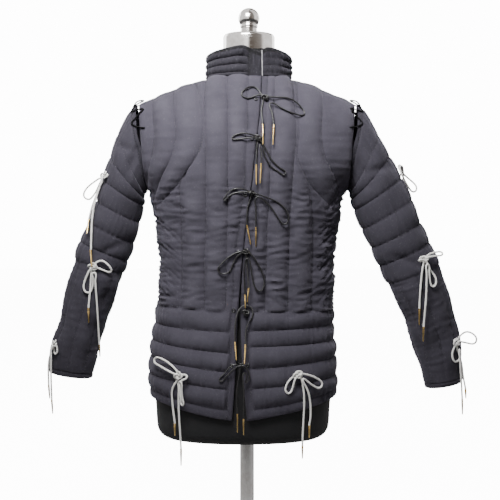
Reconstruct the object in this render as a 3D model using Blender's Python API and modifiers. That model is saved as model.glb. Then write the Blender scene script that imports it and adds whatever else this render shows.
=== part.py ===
# A padded gambeson, quilted and laced, on a limbless dress form with a post and a round base.
# Metres, +Z up. The coat's front faces -Y, and the origin is the middle of the base's underside.

from math import asin, cos, degrees, pi, radians, sin, sqrt

import bmesh
import bpy
import numpy as np
from mathutils import Vector
from mathutils.bvhtree import BVHTree

for old in list(bpy.data.objects):
    bpy.data.objects.remove(old, do_unlink=True)
gambeson = bpy.data.collections.new("gambeson")
bpy.context.scene.collection.children.link(gambeson)
materials = {}

MM = 0.001

# Cloth
WALL = 0.0035             # cloth and wadding pressed together, from a stitch line to the inside
CREST = 0.0065            # how far the wadding stands out in the middle of a full channel
FULL_CHANNEL = 0.042      # a narrower channel stands out less
SEAM = 0.0003             # gap between two pieces at a seam
OPENING_GAP = 0.0012      # least gap between the two fronts
BAND_PUFF = 0.35          # the edge bands are flatter than the channels

# Neck, shoulders and armholes
NECK_X = 0.0045           # the neck sits a little to the wearer's left
NECK_HALF = 0.094
NECK_DEPTH = 0.075
NECK_Z = 1.029
SHOULDER_HALF = 0.240
SHOULDER_Z = 0.974
SHOULDER_CURVE = 1.2
ARMPIT_HALF = 0.222
ARMPIT_Z = 0.786
RISE = 0.19               # drop below the shoulder at which the chest has its full depth
ROUND = 2.3               # superellipse exponent of the body's sections
SLIT = 0.0065             # open gap between sleeve and coat at the top, which the lacing bridges
SLIT_FROM, SLIT_TO = 0.865, 0.915

# Dress form and stand
STUMP_HALF = 0.200        # the form's closed shoulders end here
NECK_RADIUS = 0.0572
CAP_Z, CAP_TOP = 1.0885, 1.131
POST_RADIUS = 0.016
BASE_RADIUS, BASE_HEIGHT = 0.155, 0.014

# Laces
BLACK_LACE = 0.0032
WHITE_LACE = 0.0042
LACE_CLEAR = 0.0003       # least gap between an aglet's width and the cloth
LAYER_GAP = 0.0002
AGLET_GAP = 0.0003
AGLET_WALL = 0.0003
AGLET_TIP = 0.55          # width of an aglet's tip as a share of its mouth

# Rows of the panels from the shoulder or neck (0) to the waist line (1), and the skirt's steps
UPPER_ROWS = (0, 0.035, 0.1, 0.18, 0.27, 0.35, 0.42, 0.55, 0.7, 0.84, 0.95, 1)
SKIRT_STEPS = (0.5, 1)
AROUND_SLEEVE = 24
SLEEVE_RIBS = 8
AROUND_FORM = 24

COLOURS = {               # base colour, roughness, metallic
    "cloth": ((0.075, 0.073, 0.085), 0.9, 0.0),
    "form": ((0.012, 0.012, 0.013), 0.8, 0.0),
    "steel": ((0.62, 0.61, 0.59), 0.22, 1.0),
    "black_lace": ((0.02, 0.02, 0.022), 0.7, 0.0),
    "white_lace": ((0.82, 0.79, 0.74), 0.8, 0.0),
    "brass": ((0.72, 0.5, 0.2), 0.3, 1.0),
}


def table(columns, *rows):
    # Rows of millimetres under named columns, as arrays of metres sorted by the first column
    return dict(zip(columns.split(), np.array(sorted(rows), float).T * MM))


BODY = table(
    "z     half  front  back  shift",
    (285, 205, 141, 139, -9),
    (340, 209, 141, 139, -9),
    (397, 209, 138, 134, -9),
    (439, 205, 134, 127, -8.5),
    (469, 201, 131, 120, -7),
    (518, 197, 127, 110, -3.5),
    (597, 195, 125, 101, 0),
    (676, 198, 128, 106, 0),
    (727, 206, 131, 115, 0),
    (786, 222, 134, 122, 0),
    (830, 246, 134, 125, 0),
    (880, 265, 131, 124, 0),
    (975, 277, 124, 119, 0),
    (1035, 277, 118, 113, 0),
)

# Stitch lines of the fronts, as x at each height. Lines that meet on the chest run on side by side.
RIGHT_LINES = table(      # wearer's right, the viewer's left
    "z      edge  band   l1    l2    l3     d     c     b",
    (1031, 33, 3, -42, -91, -114.5, -117, -165, -210),
    (950, 28, 2, -41, -91, -93, -96, -158, -205),
    (895, 22, 0, -40, -88, -91, -94, -153, -200),
    (850, 17, -2, -40, -88, -108, -110, -162, -207),
    (795, 11, -6, -40, -86, -143, -147, -190, -218),
    (740, 3, -12, -41, -87, -141, -192, -202, -206),
    (690, -3, -18, -42, -88, -141, -172, -189, -197),
    (640, -8, -24, -43, -90, -140, -168, -184, -192),
    (520, -18, -32, -46, -92, -142, -172, -188, -196),
    (400, -23, -36, -56, -98, -146, -182, -202, -213),
    (285, -31, -44, -64, -104, -146, -178, -198, -209),
)
LEFT_LINES = table(       # wearer's left
    "z      edge  band  l1   l2    l3     d     c",
    (1031, 33, 46, 62, 99, 107, 110, 169),
    (950, 28, 42, 57, 104, 107.5, 110.5, 163),
    (895, 22, 37, 53, 105, 108, 111, 160),
    (850, 17, 32, 51, 101, 106, 109, 168),
    (795, 11, 27, 49, 97, 131, 135, 197),
    (740, 3, 20, 46, 93, 140, 178, 200),
    (690, -3, 14, 43, 91, 142, 170, 190),
    (640, -8, 9, 42, 90, 142, 168, 186),
    (520, -14, 2, 38, 88, 140, 164, 183),
    (400, -10, 4, 40, 88, 141, 168, 190),
    (285, 0, 14, 44, 90, 142, 166, 186),
)
BACK_LINES = table(       # both sides of the back
    "z     l1   l2    l3    d",
    (1031, 31, 94, 150, 205),
    (950, 31, 90, 145, 198),
    (895, 30, 88, 141, 194),
    (850, 30, 87, 139, 192),
    (786, 30, 86, 137, 187),
    (700, 29, 85, 135, 180),
    (597, 29, 84, 133, 174),
    (440, 30, 87, 139, 180),
    (285, 31, 89, 142, 182),
)

# The skirt's stitch lines from the waist to the hem: heights at the opening and at the side
RIGHT_SKIRT = ((524, 533), (477, 487), (432, 450), (392, 414), (355, 376), (311, 341), (289, 323))
LEFT_SKIRT = ((525, 519), (480, 485), (446, 450), (399, 413), (357, 372), (311, 341), (289, 323))
BACK_SKIRT_SAG = 0.010    # the back's middle hangs this much lower than its sides

# The largest folds: ends in the front view (x, z), half width, depth and which side they are on
FOLDS = table(
    "x0     z0    x1    z1   wide deep side",
    (-300, 884, -246, 868, 9, 5, -1000),
    (-262, 812, -238, 872, 9, 6, -1000),
    (-330, 640, -268, 668, 8, 4, -1000),
    (-338, 520, -300, 560, 8, 3, -1000),
    (252, 900, 296, 830, 10, 8, -1000),
    (243, 862, 262, 790, 9, 8, -1000),
    (262, 822, 330, 836, 9, 5, -1000),
    (318, 640, 392, 612, 8, 4, -1000),
    (392, 560, 440, 470, 8, 3, -1000),
    (-268, 880, -300, 800, 10, 6, 1000),
    (-246, 820, -318, 760, 9, 5, 1000),
    (-330, 600, -272, 640, 9, 4, 1000),
    (262, 880, 320, 800, 10, 6, 1000),
    (256, 815, 345, 745, 9, 5, 1000),
    (318, 600, 405, 640, 9, 4, 1000),
    (-190, 706, -140, 724, 9, 3, -1000),
    (146, 668, 190, 690, 9, 3, -1000),
    (-180, 600, -130, 612, 9, 3, -1000),
    (-120, 640, 10, 628, 10, 4, 1000),
    (-20, 590, 130, 604, 10, 4, 1000),
)

# Sleeve stitch lines: outer and inner ends in the front view, depth of the ring, how far ahead it
# is, and how far the channel below stands out across (puff) and along (rib) the arm
RIGHT_SLEEVE = (
    ("outer_x", "outer_z", "inner_x", "inner_z", "depth", "ahead", "puff", "rib"),
    (-248, 974, -223, 786, 66, 0, 1.5, 0),
    (-266, 950, -226, 781, 66, 0, 2.5, 0),
    (-288, 905, -229, 774, 65, -1, 4, 0),
    (-305, 855, -232, 764, 64, -2, 6, 0),
    (-320, 805, -236, 748, 63, -3, 6, 0),
    (-336, 758, -243, 710, 61, -4, 6, 0),
    (-353, 711, -256, 664, 60, -5, 6, 0),
    (-372, 668, -269, 624, 58, -6, 6, 0),
    (-384, 630, -279, 597, 57, -7, 1, 2),
    (-392, 598, -288, 570, 56, -9, 0, 5),
    (-406, 546, -306, 520, 54, -11, 0, 5),
    (-419, 490, -325, 465, 51, -13, 0, 5),
    (-437, 437, -338, 412, 48, -15, 0, 5),
    (-444, 393, -346, 376, 45, -16, 1, 1),
    (-445, 376, -348, 361, 44, -16, 0, 0),
)
LEFT_SLEEVE = (
    ("outer_x", "outer_z", "inner_x", "inner_z", "depth", "ahead", "puff", "rib"),
    (248, 974, 223, 786, 66, 0, 1.5, 0),
    (266, 952, 227, 782, 66, 0, 2.5, 0),
    (294, 902, 231, 775, 65, -1, 4, 0),
    (319, 856, 236, 762, 64, -2, 6, 0),
    (344, 808, 243, 738, 63, -3, 6, 0),
    (367, 760, 260, 695, 61, -4, 6, 0),
    (388, 709, 279, 653, 60, -5, 6, 0),
    (408, 664, 298, 613, 58, -6, 6, 0),
    (427, 616, 317, 573, 56, -7, 1, 2),
    (435, 590, 326, 552, 56, -9, 0, 5),
    (446, 562, 343, 521, 54, -11, 0, 5),
    (460, 513, 359, 483, 51, -13, 0, 5),
    (472, 463, 376, 434, 48, -15, 0, 5),
    (480, 408, 389, 386, 45, -16, 0, 4),
    (482, 370, 398, 354, 43, -17, 1, 1),
    (483, 354, 401, 339, 42, -17, 0, 0),
)

COLLAR_TOP = (            # degrees from the front towards the wearer's left, height in millimetres
    (18, 1083), (27, 1090), (60, 1085), (95, 1077), (180, 1090), (262, 1079), (290, 1084),
    (330, 1091), (352, 1095), (364, 1086), (374, 1076), (388, 1066),
)
COLLAR_ROWS = (0, 0.12, 0.39, 0.65, 1)
COLLAR_UNDER = 0.0062     # the under end of the collar lies this much further in
COLLAR_LEAN = 0.003       # the collar's top is this much narrower than its base
COLLAR_LIP = 0.0015       # the collar's top edge slopes inwards by this much
COLLAR_COLUMNS = 28

FORM_INSET = table(       # how far the form's surface lies inside the coat's stitch surface
    "z     inset",
    (228, 44),
    (231, 29),
    (240, 17),
    (256, 11),
    (300, 9.5),
    (520, 13),
    (700, 13),
    (800, 11),
    (880, 9),
    (930, 7.5),
    (978, 7),
    (1000, 8.5),
    (1012, 8.5),
)
FORM_LEVELS = (228, 231, 240, 256, 300, 400, 500, 597, 676, 740, 800, 850, 890, 925, 950, 965, 978,
               990, 1001, 1010)
FORM_NECK = ((1019, 82, 64), (1030, 68, 59), (1046, 60, 57.5), (1088, 57.2, 57.2))

# Each tie is one lace from aglet to aglet. The points are (x, z) in millimetres in the front view:
# aglet tip, lace end, the lace, lace end, aglet tip. A third number is the layer, counted from the
# cloth's front outwards, or from its back if negative. A fourth is y where the lace leaves the cloth.
FRONT_TIES = (
    ((35, 879, 3), (35, 922, 2), (32, 954, 1), (36, 979), (17, 1005), (-4, 998), (-13, 984),
     (6, 978), (27, 987, 1), (44, 982, 1), (91, 979), (114, 965), (127, 942), (89, 950),
     (44, 974, 2), (54, 950, 2), (58, 920, 2), (56, 878, 2)),
    ((20, 792, 1), (20, 835), (21, 866), (21, 892), (2, 900), (-23, 898), (-42, 885), (-20, 888),
     (6, 891, 1), (24, 891, 1), (38, 871), (56, 840), (88, 812), (50, 831), (27, 884, 2),
     (31, 862, 2), (30, 837, 2), (28, 794, 2)),
    ((8, 665, 1), (0, 707, 1), (2, 747), (10, 773), (-11, 784), (-34, 781), (-57, 745), (-34, 772),
     (6, 776, 1), (32, 769, 1), (70, 752), (89, 727), (80, 703), (66, 722), (49, 747), (16, 772, 2),
     (19, 745, 1), (19, 703, 1), (19, 661, 1)),
    ((1, 544, 3), (4, 574, 3), (0, 621, 1), (-4, 650), (-27, 646), (-53, 625), (-64, 611),
     (-53, 602), (-37, 607), (-24, 636), (-1, 652, 1), (15, 638, 1), (32, 608, 1), (38, 585), (27, 561, 1),
     (16, 578, 1), (2, 648, 2), (-5, 618, 2), (-4, 559, 1), (-3, 530, 1)),
    ((-22, 421, 3), (-25, 460, 2), (-24, 502, 1), (-17, 527), (-8, 535), (9, 534), (13, 515),
     (-1, 489), (-3, 454, 2), (-5, 413, 3)),
    ((-20, 266), (-20, 306), (-21, 356), (-16, 410), (-30, 411), (-46, 394), (-63, 370),
     (-40, 390), (-12, 411, 1), (7, 389), (-12, 360, 1), (1, 384, 1), (-9, 408, 2), (-6, 348, 2),
     (-7, 297, 2), (-7, 262, 2)),
)
WHITE_TIES = (
    ((-356, 688, 1), (-355, 718, 1), (-347, 747, 1), (-330, 790), (-318, 817), (-339, 803),
     (-358, 788), (-367, 769), (-357, 761), (-344, 778), (-322, 815, 1), (-334, 776, 2),
     (-343, 735, 2), (-346, 653, 2), (-343, 616, 3)),
    ((-347, 491), (-347, 524), (-342, 574), (-337, 615), (-318, 629), (-303, 618), (-291, 597),
     (-322, 610), (-337, 614, 1), (-352, 590), (-358, 567), (-348, 550), (-339, 564),
     (-333, 610, 2), (-330, 567, 1), (-327, 440), (-327, 412)),
    ((-441, 318, 0, -46), (-443, 348, 0, -46), (-442, 403), (-428, 443), (-432, 424), (-425, 412),
     (-418, 427), (-426, 444, 1), (-412, 447), (-414, 439, 1), (-430, 441, 2), (-434, 399, 2),
     (-434, 318, 1), (-432, 287, 1)),
    ((338, 640, -3), (337, 676, -3), (336, 740, -2), (338, 800, -1), (353, 818, 0, 42),
     (346, 837, 0, 8), (333, 828, 1), (357, 810, 0, -24), (378, 791, 0, -22), (381, 776, 0, -22),
     (370, 776, 0, -26), (336, 824, 2), (352, 834, 0, 14), (359, 808, 0, 48), (352, 742, -3),
     (354, 700, -3), (356, 664, -3)),
    ((378, 486), (378, 523), (380, 567), (390, 632), (408, 645), (437, 643), (402, 636),
     (361, 622, 1), (388, 631, 1), (402, 607), (415, 588), (413, 572), (406, 560), (394, 628, 2),
     (391, 550, 2), (386, 484, 2), (386, 451, 2)),
    ((487, 320, 0, -52), (486, 342, 0, -52), (483, 368, 0, -40), (477, 399), (464, 449), (485, 471),
     (508, 457), (505, 443), (484, 444), (464, 446, 1), (451, 417), (460, 402), (473, 411),
     (467, 443, 2), (472, 388, 2), (478, 320, 2, -56), (479, 285, 2, -56)),
    ((-156, 253), (-156, 280), (-161, 325), (-161, 356), (-146, 385), (-168, 409), (-198, 419),
     (-210, 411), (-190, 402), (-148, 386, 1), (-120, 384), (-142, 380, 2), (-137, 314, 2),
     (-143, 382, 3), (-147, 337, 1), (-142, 228, 1), (-142, 191, 1)),
    ((120, 205), (120, 234), (122, 356), (111, 388), (91, 376), (82, 356), (90, 339), (96, 352),
     (109, 387, 1), (137, 384), (168, 361), (162, 352), (137, 366), (113, 388, 2), (133, 348, 1),
     (138, 299, 1), (135, 276, 1), (135, 249, 1)),
)
ARMHOLE_HOLES = (-74, -60, -46, -32, -18, 14, 30, 46, 62)   # degrees round the armhole from its top
HOLE_SETBACK = 0.011      # lacing holes lie this far from the slit
ARMHOLE_MIDDLE = 0.86     # height that the lacing goes round
LACING_CLEAR = 0.0034


def clip(value, low=0.0, high=1.0):
    return max(low, min(high, value))


def ease(value):
    value = clip(value)
    return value * value * (3 - 2 * value)


def follow(at, stations, values):
    # Smooth curve through the values at the stations
    i = int(clip(np.searchsorted(stations, at) - 1, 0, len(stations) - 2))
    span = stations[i + 1] - stations[i]
    t = clip((at - stations[i]) / span)

    def slope(k):
        a, b = max(k - 1, 0), min(k + 1, len(stations) - 1)
        return (values[b] - values[a]) / (stations[b] - stations[a])

    start = (2 * t**3 - 3 * t**2 + 1) * values[i] + (t**3 - 2 * t**2 + t) * span * slope(i)
    end = (3 * t**2 - 2 * t**3) * values[i + 1] + (t**3 - t**2) * span * slope(i + 1)
    return float(start + end)


def body(z, column):
    return follow(z, BODY["z"], BODY[column])


def shoulder_height(x):
    reach = SHOULDER_HALF - NECK_HALF - (NECK_X if x > NECK_X else -NECK_X)
    out = clip((abs(x - NECK_X) - NECK_HALF) / reach)
    return NECK_Z - (NECK_Z - SHOULDER_Z) * out**SHOULDER_CURVE


def armhole_half(z):
    return ARMPIT_HALF + (SHOULDER_HALF - ARMPIT_HALF) * (z - ARMPIT_Z) / (SHOULDER_Z - ARMPIT_Z)


def depth(x, z, face, inset=0.0):
    # Distance of the body's front or back from the side seams' plane
    across = clip(abs(x - body(z, "shift")) / (body(z, "half") - inset))
    full = (body(z, face) - inset) * (1 - across**ROUND) ** (1 / ROUND)
    from_neck = clip(abs(x - NECK_X) / (NECK_HALF - inset))
    neck = (NECK_DEPTH - inset) * sqrt(1 - from_neck**2)
    drop = clip((shoulder_height(x) - inset - z) / RISE)
    lift = (1 - (1 - drop) ** 2) ** (0.5 + 0.3 * (1 - from_neck**2))
    return neck + (full - neck) * lift


def side_x(z, hand):
    if z > ARMPIT_Z:
        return hand * armhole_half(z)
    return body(z, "shift") + hand * body(z, "half")


def grid_normals(points, round_trip):
    # Outward direction at each point of a grid, from its neighbours
    if round_trip:
        along = np.roll(points, -1, axis=1) - np.roll(points, 1, axis=1)
    else:
        along = np.gradient(points, axis=1)
    down = np.gradient(points, axis=0)
    normals = np.cross(along, down)
    return normals / np.maximum(np.linalg.norm(normals, axis=2, keepdims=True), 1e-9)


def flatten(normals, axis):
    # Turns directions into the plane across an axis, so that a seam's rim stays in its plane
    normals[..., axis] = 0
    normals /= np.maximum(np.linalg.norm(normals, axis=-1, keepdims=True), 1e-9)


def fold_depth(point, normal):
    total = 0.0
    for x0, z0, x1, z1, wide, deep, side in zip(*FOLDS.values()):
        facing = normal[1] * side
        if facing <= 0:
            continue
        run = np.array((x1 - x0, z1 - z0))
        off = np.array((point[0] - x0, point[2] - z0))
        share = clip(float(off @ run) / float(run @ run))
        away = float(np.linalg.norm(off - share * run))
        taper = 0.35 + 0.65 * sin(pi * clip(share, 0.04, 0.96))
        total += deep * taper * facing * np.exp(-((away / wide) ** 2))
    return min(total, 0.009)


def make_material(name):
    colour, roughness, metallic = COLOURS[name]
    material = bpy.data.materials.new(name)
    material.use_nodes = True
    shader = material.node_tree.nodes["Principled BSDF"]
    shader.inputs["Base Color"].default_value = (*colour, 1)
    shader.inputs["Roughness"].default_value = roughness
    shader.inputs["Metallic"].default_value = metallic
    material.diffuse_color = (*colour, 1)
    return material


def add_object(name, data, material):
    piece = bpy.data.objects.new(name, data)
    data.materials.append(materials[material])
    gambeson.objects.link(piece)
    return piece


def wall_mesh(name, outer, inner, round_trip):
    # A wall between two grids of the same size, open at its first and last rows
    rows, columns = outer.shape[:2]
    shell = bmesh.new()
    skins = [[[shell.verts.new(p) for p in row] for row in grid] for grid in (outer, inner)]
    last = columns if round_trip else columns - 1
    for skin in skins:
        for i in range(rows - 1):
            for j in range(last):
                k = (j + 1) % columns
                shell.faces.new((skin[i][j], skin[i][k], skin[i + 1][k], skin[i + 1][j]))
    out, back = skins
    for i in (0, rows - 1):
        for j in range(last):
            k = (j + 1) % columns
            shell.faces.new((out[i][j], out[i][k], back[i][k], back[i][j]))
    if not round_trip:
        for j in (0, columns - 1):
            for i in range(rows - 1):
                shell.faces.new((out[i][j], out[i + 1][j], back[i + 1][j], back[i][j]))
    bmesh.ops.recalc_face_normals(shell, faces=shell.faces)
    mesh = bpy.data.meshes.new(name)
    shell.to_mesh(mesh)
    shell.free()
    mesh.shade_smooth()
    mesh.set_sharp_from_angle(angle=radians(50))
    return mesh


def panel_columns(names, splits):
    # (channel, share across it) for each column of a panel's grid
    columns = [(k, m / splits[k]) for k in range(len(names) - 1) for m in range(splits[k])]
    return columns + [(len(names) - 2, 1.0)]


def skirt_levels(skirt, share):
    return [MM * (mid + (side - mid) * share**1.2) for mid, side in skirt]


def channel_height(width):
    return CREST * min(1.0, width / FULL_CHANNEL)


def panel(line_x, names, splits, face, skirt_at, puff_at, side_phase):
    # One quilted panel: line_x(k, z) gives line k's place, and the first and last lines may be seams
    sign = -1 if face == "front" else 1
    steps = len(SKIRT_STEPS)
    columns = panel_columns(names, splits)
    rows = len(UPPER_ROWS) + steps * (len(RIGHT_SKIRT) - 1)
    base = np.zeros((rows, len(columns), 3))
    crest = np.zeros((rows, len(columns)))
    for j, (k, share) in enumerate(columns):
        def place(z):
            s = share
            if side_phase[k] == 1:
                s = 1 - (1 - share) ** 2
            elif side_phase[k] == -1:
                s = share**2
            return line_x(k, z) + s * (line_x(k + 1, z) - line_x(k, z))

        def width(z):
            return abs(line_x(k + 1, z) - line_x(k, z))

        top = NECK_Z
        for _ in range(8):
            top = shoulder_height(place(top))
        levels = skirt_at(place)
        for i, drop in enumerate(UPPER_ROWS):
            z = top + (levels[0] - top) * drop
            x = place(z)
            base[i, j] = x, sign * depth(x, z, face), z
            fade = ease((1 - drop) / 0.05) * (ease(drop / 0.1) if abs(x - NECK_X) < NECK_HALF else 1)
            crest[i, j] = fade * puff_at(k, share, x, z, width(z))
        for band in range(len(levels) - 1):
            tall = levels[band] - levels[band + 1]
            for m, step in enumerate(SKIRT_STEPS):
                i = len(UPPER_ROWS) + band * steps + m
                z = levels[band] - tall * step
                x = place(z)
                base[i, j] = x, sign * depth(x, z, face), z
                crest[i, j] = sin(pi * step) * channel_height(tall)
    return base, crest


def finish_panel(name, base, crest, seams):
    # Seams holds the column numbers of the side seams and armholes
    normals = grid_normals(base, False)
    outwards = np.sign(base[..., 1:2] + 1e-9)
    normals *= np.where((normals[..., 1:2] * outwards).sum() < 0, -1, 1)
    for j in seams:
        armhole = base[:, j, 2] > ARMPIT_Z + 0.004
        flat_x, flat_y = normals[:, j].copy(), normals[:, j].copy()
        flatten(flat_x, 0)
        flatten(flat_y, 1)
        normals[:, j] = np.where(armhole[:, None], flat_x, flat_y)
    shoulder = np.abs(base[0, :, 0] - NECK_X) > NECK_HALF - 0.004
    top = normals[0].copy()
    flatten(top, 1)
    normals[0] = np.where(shoulder[:, None], top, normals[0])
    base = base.copy()
    base[..., 1] += outwards[..., 0] * SEAM / 2
    folds = np.array([[fold_depth(p, n) for p, n in zip(*pair)] for pair in zip(base, normals)])
    folds[:, seams] = 0
    folds[0] = 0
    outer = base + normals * (crest - folds * 0.6)[..., None]
    inner = base - normals * (WALL + folds * 0.4)[..., None]
    sign = 1 if outwards.sum() > 0 else -1
    for grid in (outer, inner):
        grid[..., 1] = sign * np.maximum(sign * grid[..., 1], SEAM / 2)
    add_object(name, wall_mesh(name, outer, inner, False), "cloth")
    return outer


def make_front(name, lines, hand, skirt):
    names = list(lines)[1:] + ["side"]
    splits = [1] + [2] * (len(names) - 2)
    side_phase = [0] * (len(names) - 2) + [1]
    wide_from = names.index("l3")

    def line_x(k, z):
        if k == len(names) - 1:
            return side_x(z, hand)
        x = follow(z, lines["z"], lines[names[k]])
        return x + hand * OPENING_GAP / 2 if k == 0 else x

    def skirt_at(place):
        middle = MM * (skirt[0][0] + skirt[-1][0]) / 2
        edge, side = line_x(0, middle), line_x(len(names) - 1, middle)
        return skirt_levels(skirt, clip((place(middle) - edge) / (side - edge)))

    def puff_at(k, share, x, z, width):
        narrow = sin(pi * share) * channel_height(width)
        if k == 0:
            return BAND_PUFF * narrow
        if k < wide_from:
            return narrow
        start, side = line_x(wide_from, z), line_x(len(names) - 1, z)
        part = 1 - sqrt(1 - clip((x - start) / (side - start)))
        wide = sin(pi * part) * CREST
        return wide + (narrow - wide) * ease((z - 0.735) / 0.05)

    base, crest = panel(line_x, names, splits, "front", skirt_at, puff_at, side_phase)
    return finish_panel(name, base, crest, [-1])


def make_back():
    lines = list(BACK_LINES)[1:]
    count = len(lines)
    names = ["side"] + lines[::-1] + lines + ["side"]
    splits = [3] + [2] * (len(names) - 3) + [3]
    side_phase = [-1] + [0] * (len(names) - 3) + [1]

    def line_x(k, z):
        if k in (0, len(names) - 1):
            return side_x(z, -1 if k == 0 else 1)
        column = names[k]
        shift = body(z, "shift")
        x = follow(z, BACK_LINES["z"], BACK_LINES[column])
        neck = NECK_X * ease((z - ARMPIT_Z) / (NECK_Z - ARMPIT_Z))
        return shift + neck + (-x if k <= count else x)

    def skirt_at(place):
        left, right = side_x(0.4, -1), side_x(0.4, 1)
        share = clip((place(0.4) - left) / (right - left))
        sag = BACK_SKIRT_SAG * sin(pi * share)
        pairs = zip(RIGHT_SKIRT, LEFT_SKIRT)
        return [MM * (a[1] + (b[1] - a[1]) * share) - sag for a, b in pairs]

    def puff_at(k, share, x, z, width):
        return sin(pi * share) * channel_height(width)

    base, crest = panel(line_x, names, splits, "back", skirt_at, puff_at, side_phase)
    return finish_panel("back", base, crest, [0, -1])


def slit_at(z):
    return SEAM + SLIT * ease((z - SLIT_FROM) / (SLIT_TO - SLIT_FROM))


def armhole_point(angle, hand, off):
    # Point of the armhole's oval, its angle counted from the top towards the front
    middle, tall = (SHOULDER_Z + ARMPIT_Z) / 2, (SHOULDER_Z - ARMPIT_Z) / 2
    z = middle + tall * cos(angle)
    x = hand * armhole_half(z)
    face = "front" if sin(angle) > 0 else "back"
    y = depth(x, z, face) * (-1 if face == "front" else 1)
    return np.array((x + hand * off, y, z))


def sleeve_rings(rows, hand):
    # Yields (points, puff, rib) for each ring from the armhole to the cuff
    names, lines = rows[0], np.array(rows[1:], float) * MM
    stations = np.arange(len(lines), dtype=float)

    def value(at, column):
        return follow(at, stations, lines[:, names.index(column)])

    marks = []
    for i in range(len(lines)):
        marks.append((float(i), 0.0))
        if i < len(lines) - 1 and 2.5 * MM < lines[i, names.index("puff")]:
            marks.append((i + 0.5, lines[i, names.index("puff")]))
    for at, puff in marks:
        outer = np.array((value(at, "outer_x"), 0, value(at, "outer_z")))
        inner = np.array((value(at, "inner_x"), 0, value(at, "inner_z")))
        middle, reach = (outer + inner) / 2, (outer - inner) / 2
        ring = []
        for j in range(AROUND_SLEEVE):
            angle = 2 * pi * j / AROUND_SLEEVE
            round_point = middle + reach * cos(angle)
            round_point[1] = value(at, "ahead") - value(at, "depth") * sin(angle)
            oval = armhole_point(angle, hand, 0)
            oval[0] += hand * slit_at(oval[2])
            share = ease(at / 2)
            ring.append(oval + (round_point - oval) * share)
        yield np.array(ring), puff, value(at, "rib")


def make_sleeve(name, rows, hand):
    rings = list(sleeve_rings(rows, hand))
    base = np.array([ring for ring, _, _ in rings])
    normals = grid_normals(base, True)
    centres = base.mean(axis=1, keepdims=True)
    if ((base - centres) * normals).sum() < 0:
        normals = -normals
    flatten(normals[0], 0)
    ribs = np.array([sin(pi * ((j * SLEEVE_RIBS / AROUND_SLEEVE) % 1)) for j in range(AROUND_SLEEVE)])
    crest = np.array([puff + max(rib, 0) * ribs for _, puff, rib in rings])
    folds = np.array([[fold_depth(p, n) for p, n in zip(*pair)] for pair in zip(base, normals)])
    folds[0] = folds[-1] = 0
    outer = base + normals * (crest - folds)[..., None]
    inner = base - normals * (WALL + folds)[..., None]
    add_object(name, wall_mesh(name, outer, inner, True), "cloth")
    return outer


def make_collar():
    start = asin((0.034 - NECK_X) / NECK_HALF)
    end = 2 * pi + radians(27)
    angles = np.array([a for a, _ in COLLAR_TOP], float)
    tops = np.array([z for _, z in COLLAR_TOP], float) * MM
    steps = [0.0]
    for low, high in zip(COLLAR_ROWS, COLLAR_ROWS[1:]):
        steps += [(low + high) / 2, high]
    base = np.zeros((len(steps), COLLAR_COLUMNS + 1, 3))
    crest = np.zeros(base.shape[:2])
    for j in range(COLLAR_COLUMNS + 1):
        angle = start + (end - start) * j / COLLAR_COLUMNS
        top = follow(degrees(angle), angles, tops)
        under = COLLAR_UNDER * ease((degrees(angle) - 344) / 26)
        plain = 1 - ease((degrees(angle) - 350) / 12)
        for i, step in enumerate(steps):
            inset = under + COLLAR_LEAN * step
            z = NECK_Z + SEAM + (top - NECK_Z) * step
            x = NECK_X + (NECK_HALF - inset) * sin(angle)
            base[i, j] = x, -(NECK_DEPTH - inset) * cos(angle), z
            if i % 2:
                tall = (steps[i + 1] - steps[i - 1]) * (top - NECK_Z)
                crest[i, j] = plain * channel_height(tall * 1.7)
    normals = grid_normals(base, False)
    middle = np.array((NECK_X, 0, 0))
    if ((base - middle) * normals)[..., :2].sum() < 0:
        normals = -normals
    flatten(normals, 2)
    outer = base + normals * crest[..., None]
    inner = base - normals * WALL
    inner[-1, :, 2] -= COLLAR_LIP
    add_object("collar", wall_mesh("collar", outer, inner, False), "cloth")


def form_half(z, inset):
    # Half width of the form at a height: the body's, cut off at the shoulder stumps and the slope
    sloped = clip((NECK_Z - inset - z) / (NECK_Z - SHOULDER_Z)) ** (1 / SHOULDER_CURVE)
    slope = NECK_HALF - inset + (SHOULDER_HALF - NECK_HALF) * sloped
    return min(body(z, "half") - inset, STUMP_HALF, slope)


def make_form():
    rings = []
    for level in FORM_LEVELS:
        z = level * MM
        inset = follow(z, FORM_INSET["z"], FORM_INSET["inset"])
        half = form_half(z, inset)
        shift = body(z, "shift") + NECK_X * ease((z - 0.9) / 0.1)
        ring = []
        for j in range(AROUND_FORM):
            angle = 2 * pi * j / AROUND_FORM
            x = shift + half * cos(angle)
            close = (1 - abs(cos(angle)) ** 6) ** (1 / 6) if half < body(z, "half") - inset else 1
            face = "front" if sin(angle) < 0 else "back"
            y = depth(x, z, face, inset) * close * (1 if sin(angle) > 0 else -1)
            ring.append((x, 0.0 if abs(sin(angle)) < 1e-6 else y, z))
        rings.append(ring)
    for level, half, deep in FORM_NECK:
        turns = [2 * pi * j / AROUND_FORM for j in range(AROUND_FORM)]
        rings.append([
            (NECK_X + half * MM * cos(a), deep * MM * sin(a), level * MM) for a in turns
        ])
    skin = bmesh.new()
    verts = [[skin.verts.new(p) for p in ring] for ring in rings]
    for low, high in zip(verts, verts[1:]):
        for j in range(AROUND_FORM):
            k = (j + 1) % AROUND_FORM
            skin.faces.new((low[j], low[k], high[k], high[j]))
    skin.faces.new(verts[0][::-1])
    skin.faces.new(verts[-1])
    bmesh.ops.recalc_face_normals(skin, faces=skin.faces)
    mesh = bpy.data.meshes.new("form_torso")
    skin.to_mesh(mesh)
    skin.free()
    mesh.shade_smooth()
    add_object("form_torso", mesh, "form")


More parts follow.
